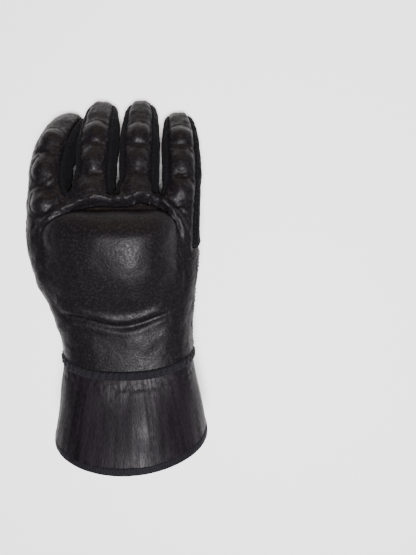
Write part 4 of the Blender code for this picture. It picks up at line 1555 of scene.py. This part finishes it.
class Finish:
    """A material being made: its shader, and short calls for the nodes that feed it."""

    def __init__(self, name, roughness, specular, sheen=0.0, sheen_roughness=0.5):
        self.material = bpy.data.materials.new(f"{name}_finish")
        self.material.use_nodes = True
        self.tree = self.material.node_tree
        self.shader = self.tree.nodes["Principled BSDF"]
        self.shader.inputs["Roughness"].default_value = roughness
        self.shader.inputs["Specular IOR Level"].default_value = specular
        self.shader.inputs["Sheen Weight"].default_value = sheen
        self.shader.inputs["Sheen Roughness"].default_value = sheen_roughness
        places = self.tree.nodes.new("ShaderNodeTexCoord")
        self.object = places.outputs["Object"]
        self.cloth = places.outputs["UV"]
        self.height = None

    def node(self, kind, inputs, **settings):
        """A node with its settings, and its inputs set or linked by name or number."""
        node = self.tree.nodes.new(kind)
        for key, value in settings.items():
            setattr(node, key, value)
        for key, value in inputs.items():
            if isinstance(value, bpy.types.NodeSocket):
                self.tree.links.new(value, node.inputs[key])
            else:
                node.inputs[key].default_value = value
        return node

    def scaled(self, source, scale):
        return self.node("ShaderNodeMapping", {"Vector": source, "Scale": scale}).outputs[0]

    def noise(self, size, detail=2.0, source=None, rough=0.5):
        """Noise from 0 to 1 with features of a size in metres."""
        inputs = {
            "Vector": source or self.object,
            "Scale": 1.0 / size,
            "Detail": detail,
            "Roughness": rough,
        }
        return self.node("ShaderNodeTexNoise", inputs).outputs[0]

    def maths(self, operation, *values):
        inputs = dict(enumerate(values))
        return self.node("ShaderNodeMath", inputs, operation=operation).outputs[0]

    def spread(self, value, low, high, to_low=0.0, to_high=1.0):
        inputs = {0: value, 1: low, 2: high, 3: to_low, 4: to_high}
        return self.node("ShaderNodeMapRange", inputs).outputs[0]

    def weave(self, pitch):
        """Over and under of a plain weave on the cloth's own run, from -1 to 1."""
        split = self.node("ShaderNodeSeparateXYZ", {0: self.cloth})
        turn = math.pi / pitch
        warp = self.maths("SINE", self.maths("MULTIPLY", split.outputs[0], turn))
        weft = self.maths("SINE", self.maths("MULTIPLY", split.outputs[1], turn))
        return self.maths("MULTIPLY", warp, weft)

    def relief(self):
        """The stored height of the cloth's relief, about -1 to 1."""
        return self.node("ShaderNodeAttribute", {}, attribute_name="relief").outputs["Fac"]

    def colour(self, base, factor, low, high):
        """The base colour, scaled between two shares by a factor."""
        pale = tuple(min(1.0, part * high) for part in base)
        deep = tuple(part * low for part in base)
        inputs = {"Factor": factor, 6: (*deep, 1.0), 7: (*pale, 1.0)}
        mix = self.node("ShaderNodeMix", inputs, data_type="RGBA")
        self.tree.links.new(mix.outputs[2], self.shader.inputs["Base Color"])

    def roughness(self, factor, low, high):
        value = self.spread(factor, 0.0, 1.0, low, high)
        self.tree.links.new(value, self.shader.inputs["Roughness"])

    def bump(self, value, distance, strength=1.0):
        """Adds a height in metres to the surface's fine relief."""
        inputs = {"Height": value, "Distance": distance, "Strength": strength}
        if self.height is not None:
            inputs["Normal"] = self.height
        self.height = self.node("ShaderNodeBump", inputs).outputs[0]
        for link in list(self.shader.inputs["Normal"].links):
            self.tree.links.remove(link)
        self.tree.links.new(self.height, self.shader.inputs["Normal"])


def back_finish(colours):
    """Close-woven cloth with a satin bloom and pale flecks, with painted light: paler where it stands
    proud and darker in its creases.
    """
    finish = Finish("back_cloth", 0.50, 0.10)
    speckle = finish.spread(finish.noise(0.0013, 2.0), 0.30, 0.70)
    fleck = finish.spread(finish.noise(0.0014, 4.0, None, 0.75), 0.50, 0.74)
    cloud = finish.noise(0.014, 3.0)
    # Painted light and shade: the colour is raised where the relief stands proud and lowered in its
    # creases, grooves and crevices. The rest of the mix is random mottle.
    proud = finish.spread(finish.relief(), -0.5, 1.0)
    worn = finish.maths("MULTIPLY", finish.maths("ADD", speckle, cloud), 0.5)
    raised = finish.maths("MULTIPLY", proud, 0.06)
    mottle_and_relief_light = finish.maths("ADD", raised, finish.maths("MULTIPLY", worn, 0.30))
    finish.colour(colours.back, finish.maths("ADD", mottle_and_relief_light, fleck), 0.30, 4.80)
    finish.roughness(speckle, 0.58, 0.34)
    finish.bump(speckle, 0.00008, 0.8)
    finish.bump(finish.noise(0.0060, 2.0), 0.0003, 0.5)
    return finish.material


def suede_finish(colours):
    """Matt napped suede with a soft mottle."""
    finish = Finish("suede", 0.85, 0.05, 0.01, 0.5)
    cloud = finish.noise(0.010, 4.0)
    finish.colour(colours.suede, cloud, 0.6, 1.5)
    finish.bump(finish.noise(0.0007, 3.0), 0.00012, 0.7)
    finish.bump(finish.noise(0.0050, 3.0), 0.0004, 0.5)
    return finish.material


def knit_finish(colours):
    """Ribbed knit of the gussets."""
    finish = Finish("gusset_knit", 0.75, 0.06, 0.01, 0.5)
    split = finish.node("ShaderNodeSeparateXYZ", {0: finish.cloth})
    ribs = finish.maths("SINE", finish.maths("MULTIPLY", split.outputs[0], 2 * math.pi / 0.0012))
    finish.colour(colours.knit, finish.noise(0.004, 3.0), 0.6, 1.5)
    finish.bump(ribs, 0.00012, 0.8)
    finish.bump(finish.noise(0.0012, 3.0), 0.00015, 0.6)
    return finish.material


def net_finish(colours):
    """Cloth under the grip net."""
    finish = Finish("grip_net", 0.50, 0.14)
    finish.colour(colours.net, finish.noise(0.006, 3.0), 0.6, 1.6)
    finish.bump(finish.weave(0.0011), 0.00018, 0.9)
    finish.bump(finish.noise(0.0060, 3.0), 0.0006, 0.5)
    return finish.material


def cell_finish(colours):
    """Glossy raised cells of the grip net."""
    finish = Finish("grip_cells", 0.28, 0.20)
    finish.colour(colours.net, finish.noise(0.003, 2.0), 0.8, 1.8)
    finish.bump(finish.noise(0.0009, 2.0), 0.0001, 0.5)
    return finish.material


def pad_finish(colours):
    """Moulded satin skin of the heel pads."""
    finish = Finish("pad_skin", 0.36, 0.16)
    cloud = finish.noise(0.008, 3.0)
    finish.colour(colours.pad, cloud, 0.7, 1.4)
    finish.roughness(cloud, 0.30, 0.46)
    finish.bump(finish.noise(0.0006, 2.0), 0.00006, 0.6)
    return finish.material


def cuff_finish(colours):
    """Cloth brushed from the wrist to the mouth."""
    finish = Finish("cuff_cloth", 0.50, 0.09)
    grain = finish.noise(1.0, 3.0, finish.scaled(finish.cloth, (1050.0, 330.0, 1.0)))
    streak = finish.noise(1.0, 2.0, finish.scaled(finish.cloth, (300.0, 14.0, 1.0)))
    both = finish.maths("MULTIPLY", finish.maths("ADD", grain, streak), 0.5)
    finish.colour(colours.cuff, finish.spread(both, 0.38, 0.66), 0.35, 3.6)
    finish.roughness(finish.spread(both, 0.36, 0.66), 0.60, 0.34)
    finish.bump(grain, 0.00012, 0.8)
    finish.bump(finish.noise(0.0011, 2.0), 0.00008, 0.6)
    return finish.material


def tape_finish(colours):
    """Ribbed edge tape."""
    finish = Finish("binding_tape", 0.70, 0.08, 0.02, 0.5)
    finish.colour(colours.tape, finish.noise(0.003, 3.0), 0.6, 1.7)
    finish.bump(finish.weave(0.0009), 0.00014, 0.9)
    finish.bump(finish.noise(0.0018, 3.0), 0.0002, 0.6)
    return finish.material


def thread_finish(colours):
    """Twisted thread."""
    finish = Finish("thread", 0.60, 0.12)
    finish.colour(colours.thread, finish.noise(0.002, 2.0), 0.7, 1.5)
    finish.bump(finish.noise(0.0004, 2.0), 0.00008, 0.7)
    return finish.material


def floor_finish(colours):
    finish = Finish("pale_floor", 0.65, 0.20)
    finish.colour(colours.floor, finish.noise(0.4, 2.0), 0.99, 1.01)
    return finish.material


FINISHES = {
    "back_cloth": back_finish,
    "suede": suede_finish,
    "gusset_knit": knit_finish,
    "grip_net": net_finish,
    "grip_cells": cell_finish,
    "pad_skin": pad_finish,
    "cuff_cloth": cuff_finish,
    "binding_tape": tape_finish,
    "thread": thread_finish,
    "pale_floor": floor_finish,
}


def finish_named(name):
    """The finish of that name, made the first time that it is asked for."""
    found = bpy.data.materials.get(f"{name}_finish")
    return found or FINISHES[name](bpy.context.scene.glove_colours)


def dress(obj, finish, slot, *nodes):
    """Gives a piece its finish as its one material, and puts it in place of its nodes. The slot it is
    handed is not used.
    """
    obj.data.materials.clear()
    obj.data.materials.append(finish_named(finish))
    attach(obj, "root")
    if nodes:
        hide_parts(*nodes)
    return obj


# Stage


# Camera: its focal length in pixels of the photograph's frame, its tilt from straight down
# in degrees, and what it looks at, in metres.
CAMERA_FOCUS = 430.0
CAMERA_TILT = 12.0
CAMERA_TARGET = (0.058, 0.004, 0.047)
CAMERA_DISTANCE = 0.268

SKY_STRENGTH = 0.05

# Name, place, turn in degrees, size, power in watts and colour.
LIGHTS = (
    ("key", (0.15, -0.13, 1.0), (8.5, 8.6, 0.0), (0.36, 0.36), 35.0, (1.0, 0.98, 1.0)),
    ("warm", (0.02, 0.62, 0.30), (-64.0, 0.0, 0.0), (0.50, 0.16), 1.2, (1.0, 0.66, 0.36)),
)


# Operators


class GLOVE_OT_stage(bpy.types.Operator):
    """Makes the floor, the lights and the camera"""

    bl_idname = "glove.stage"
    bl_label = "Stage"

    def execute(self, context):
        scene = context.scene
        bpy.ops.mesh.primitive_grid_add(x_subdivisions=4, y_subdivisions=4, size=6.0)
        floor = context.object
        floor.name = "floor"
        floor.data.materials.append(finish_named("pale_floor"))
        world = bpy.data.worlds.new("studio")
        world.use_nodes = True
        sky = world.node_tree.nodes["Background"]
        sky.inputs["Color"].default_value = (1.0, 1.0, 1.0, 1.0)
        sky.inputs["Strength"].default_value = SKY_STRENGTH
        scene.world = world
        for name, place, turn, size, power, colour in LIGHTS:
            data = bpy.data.lights.new(name, "AREA")
            data.shape = "RECTANGLE"
            data.size, data.size_y = size
            data.energy = power
            data.color = colour
            lamp = bpy.data.objects.new(name, data)
            lamp.location = place
            lamp.rotation_euler = [math.radians(angle) for angle in turn]
            scene.collection.objects.link(lamp)
        data = bpy.data.cameras.new("camera")
        data.sensor_width = 36.0
        data.lens = 36.0 * CAMERA_FOCUS / 555.0
        data.clip_start = 0.01
        camera = bpy.data.objects.new("camera", data)
        tilt = math.radians(CAMERA_TILT)
        back = Vector((0.0, math.sin(tilt), math.cos(tilt)))
        camera.location = Vector(CAMERA_TARGET) + back * CAMERA_DISTANCE
        camera.rotation_euler = (-tilt, 0.0, 0.0)
        scene.collection.objects.link(camera)
        scene.camera = camera
        return {"FINISHED"}


class GLOVE_OT_back(bpy.types.Operator):
    """Makes the back of the hand with its guard and finger pads"""

    bl_idname = "glove.back"
    bl_label = "Back"

    def execute(self, context):
        back = panel_piece("back_cover", "back_panel", context.scene.glove_sizes)
        pads = [f"{row[0]}_pad_{number}" for row in FINGER_ROWS for number in (1, 2, 3)]
        dress(back, "back_cloth", "back_cloth", "back_panel", "knuckle_guard", *pads)
        return {"FINISHED"}


class GLOVE_OT_palm(bpy.types.Operator):
    """Makes the suede palm side, the netted grip and the finger gussets"""

    bl_idname = "glove.palm"
    bl_label = "Palm"

    def execute(self, context):
        sizes = context.scene.glove_sizes
        palm = panel_piece("palm_cover", "palm_panel", sizes)
        dress(palm, "suede", "suede", "palm_panel")
        grip = panel_piece("grip_cover", "grip_panel", sizes)
        dress(grip, "grip_net", "grip_net", "grip_panel")
        for panel in GUSSETS:
            gusset = panel_piece(f"{panel}_cover", panel, sizes)
            dress(gusset, "gusset_knit", "gusset_knit", panel)
        cells = grown(
            "grip_cells",
            cell_guide(sizes.cell_pitch),
            cell_tree(),
            {
                "Width": sizes.cell_pitch * 0.80,
                "Height": sizes.cell_height * 2,
                "Material": finish_named("grip_cells"),
            },
        )
        dress(cells, "grip_cells", "grip_net")
        return {"FINISHED"}


def cell_guide(pitch):
    """Loose points on the grip cloth in staggered rows, with their outward directions."""
    skin, _, _, shift = dressed_hand()
    chosen = skin.panels == PANELS.index("grip_panel")
    faces, runs = skin.faces[chosen], skin.runs[chosen]
    flat = [(u, v, 0.0) for u, v in runs.reshape(-1, 2)]
    corners = np.arange(len(flat)).reshape(-1, 4).tolist()
    tree = BVHTree.FromPolygons(flat, corners)
    low, high = runs.reshape(-1, 2).min(axis=0), runs.reshape(-1, 2).max(axis=0)
    margin = 0.0016
    row_pitch = pitch * 0.866
    rows = int((high[1] - low[1] - 2 * margin) / row_pitch)
    points, outwards = [], []

    def under(u, v):
        return tree.ray_cast((u, v, 1.0), (0, 0, -1))

    for row in range(rows):
        v = low[1] + margin + row * row_pitch
        start = low[0] + (row % 2) * pitch / 2
        for column in range(int((high[0] - low[0]) / pitch)):
            u = start + column * pitch
            if not all(under(u + side * margin, v)[0] for side in (-1, 0, 1)):
                continue
            number = under(u, v)[2]
            weights = corner_weights(runs[number], (u, v))
            points.append(weights @ skin.lifted[faces[number]] + shift)
            outwards.append(unit(weights @ skin.normals[faces[number]]))
    mesh = bpy.data.meshes.new("cell_guide")
    mesh.from_pydata([tuple(point) for point in points], [], [])
    attribute = mesh.attributes.new("outwards", "FLOAT_VECTOR", "POINT")
    attribute.data.foreach_set("vector", np.array(outwards, np.float32).ravel())
    obj = bpy.data.objects.new("cell_guide", mesh)
    bpy.context.scene.collection.objects.link(obj)
    return obj


def corner_weights(corners, place):
    """Weights of a quad's four corners at a place inside it."""
    gaps = np.linalg.norm(corners - np.array(place), axis=1)
    weights = 1.0 / np.maximum(gaps, 1e-7) ** 2
    return weights / weights.sum()


class GLOVE_OT_thumb(bpy.types.Operator):
    """Makes the two halves of the thumb"""

    bl_idname = "glove.thumb"
    bl_label = "Thumb"

    def execute(self, context):
        sizes = context.scene.glove_sizes
        back = panel_piece("thumb_back_cover", "thumb_back", sizes)
        dress(back, "back_cloth", "back_cloth", "thumb_back", "thumb_pad_1", "thumb_pad_2")
        front = panel_piece("thumb_front_cover", "thumb_front", sizes)
        dress(front, "suede", "suede", "thumb_front")
        return {"FINISHED"}


class GLOVE_OT_heel(bpy.types.Operator):
    """Makes the pads under the heel of the hand"""

    bl_idname = "glove.heel"
    bl_label = "Heel pads"

    def execute(self, context):
        skin = dressed_hand()[0]
        surface = BVHTree.FromPolygons(skin.lifted.tolist(), skin.faces.tolist())
        up, ahead = Vector((0, 0, -1)), Vector((0, 1, 0))
        shapes = {
            "heel_pad_thumb": (kidney_outline, moulded_profile),
            "heel_pad_little": (round_outline, moulded_profile),
            "heel_patch": (patch_outline, patch_profile),
        }
        for values in HEEL_ROWS:
            row = Row(HEEL_COLUMNS, values)
            outline, profile = shapes[row.name]
            centre = Vector((PALM_BREADTH * row.aside, PALM_LENGTH * row.along, PAD_REACH * 0.7))
            size = (row.length, row.breadth, row.height)
            points, faces = pad_on(surface, centre, ahead, up, size, outline, profile, 96, 96)
            pad = face_outwards(mesh_object(f"{row.name}_cover", points, faces))
            dress(pad, "pad_skin", "pad_skin", row.name)
        return {"FINISHED"}


class GLOVE_OT_wrist(bpy.types.Operator):
    """Makes the puckered roll between the hand and the cuff"""

    bl_idname = "glove.wrist"
    bl_label = "Wrist roll"

    def execute(self, context):
        rings, runs = wrist_roll_rings(dressed_hand()[1], context.scene.glove_sizes)
        roll = tube_piece("wrist_roll", rings, True, runs)
        dress(roll, "binding_tape", "binding_tape", "wrist_binding")
        return {"FINISHED"}


class GLOVE_OT_cuff(bpy.types.Operator):
    """Makes the cuff's wrap, its edge tape and the stretch piece between its flaps"""

    bl_idname = "glove.cuff"
    bl_label = "Cuff"

    def execute(self, context):
        wrist = dressed_hand()[1]
        wrap = sheet_piece("cuff_wrap", *wrap_grids(wrist))
        dress(wrap, "cuff_cloth", "cuff_cloth", "cuff")
        rings, runs = tape_rings(wrist)
        tape = tube_piece("cuff_tape", rings, False, runs)
        dress(tape, "binding_tape", "binding_tape", "cuff_binding")
        grids = gusset_grids(wrist, context.scene.glove_sizes.wall)
        gusset = sheet_piece("cuff_stretch", *grids)
        dress(gusset, "gusset_knit", "gusset_knit", "cuff_gusset")
        return {"FINISHED"}


class GLOVE_OT_stitches(bpy.types.Operator):
    """Sews the seams of the hand and the cuff"""

    bl_idname = "glove.stitches"
    bl_label = "Stitches"

    def execute(self, context):
        sizes = context.scene.glove_sizes
        wrist = dressed_hand()[1]
        lines = seam_lines(sizes.stitch_thickness * 0.15)
        columns = np.linspace(0.02, 0.98, 260)
        place, out = wrist.wrap(columns, np.full(260, CUFF_SEAM_PLACE / CUFF_LENGTH))
        lines.append(list(place - out * 0.0004))
        columns, shares = tape_path(wrist, TAPE_WIDTH * 0.80)
        place, out = wrist.wrap(columns[20:-20], shares[20:-20])
        lines.append(list(place + out * 0.00035))
        stitches = grown(
            "seam_stitches",
            line_guide(lines),
            stitch_tree(),
            {
                "Pitch": sizes.stitch_pitch,
                "Length": sizes.stitch_length,
                "Thickness": sizes.stitch_thickness,
                "Material": finish_named("thread"),
            },
        )
        dress(stitches, "thread", "binding_tape")
        return {"FINISHED"}


class GLOVE_PT_panel(bpy.types.Panel):
    """Lists the glove's pieces, sizes and colours"""

    bl_idname = "GLOVE_PT_panel"
    bl_label = "Impact glove"
    bl_space_type = "VIEW_3D"
    bl_region_type = "UI"
    bl_category = "Glove"

    def draw(self, context):
        for operator in OPERATORS:
            self.layout.operator(operator.bl_idname)
        for group in (context.scene.glove_sizes, context.scene.glove_colours):
            box = self.layout.box()
            for name in group.__annotations__:
                box.prop(group, name)


OPERATORS = (
    GLOVE_OT_stage,
    GLOVE_OT_back,
    GLOVE_OT_palm,
    GLOVE_OT_thumb,
    GLOVE_OT_heel,
    GLOVE_OT_wrist,
    GLOVE_OT_cuff,
    GLOVE_OT_stitches,
)
CLASSES = (GloveSizes, GloveColours, *OPERATORS, GLOVE_PT_panel)


def register():
    for cls in CLASSES:
        bpy.utils.register_class(cls)
    bpy.types.Scene.glove_sizes = PointerProperty(type=GloveSizes)
    bpy.types.Scene.glove_colours = PointerProperty(type=GloveColours)


def unregister():
    del bpy.types.Scene.glove_colours
    del bpy.types.Scene.glove_sizes
    for cls in reversed(CLASSES):
        bpy.utils.unregister_class(cls)


def main():
    register()
    bpy.ops.glove.stage()
    bpy.ops.glove.back()
    bpy.ops.glove.palm()
    bpy.ops.glove.thumb()
    bpy.ops.glove.heel()
    bpy.ops.glove.wrist()
    bpy.ops.glove.cuff()
    bpy.ops.glove.stitches()


if __name__ == "__main__":
    main()
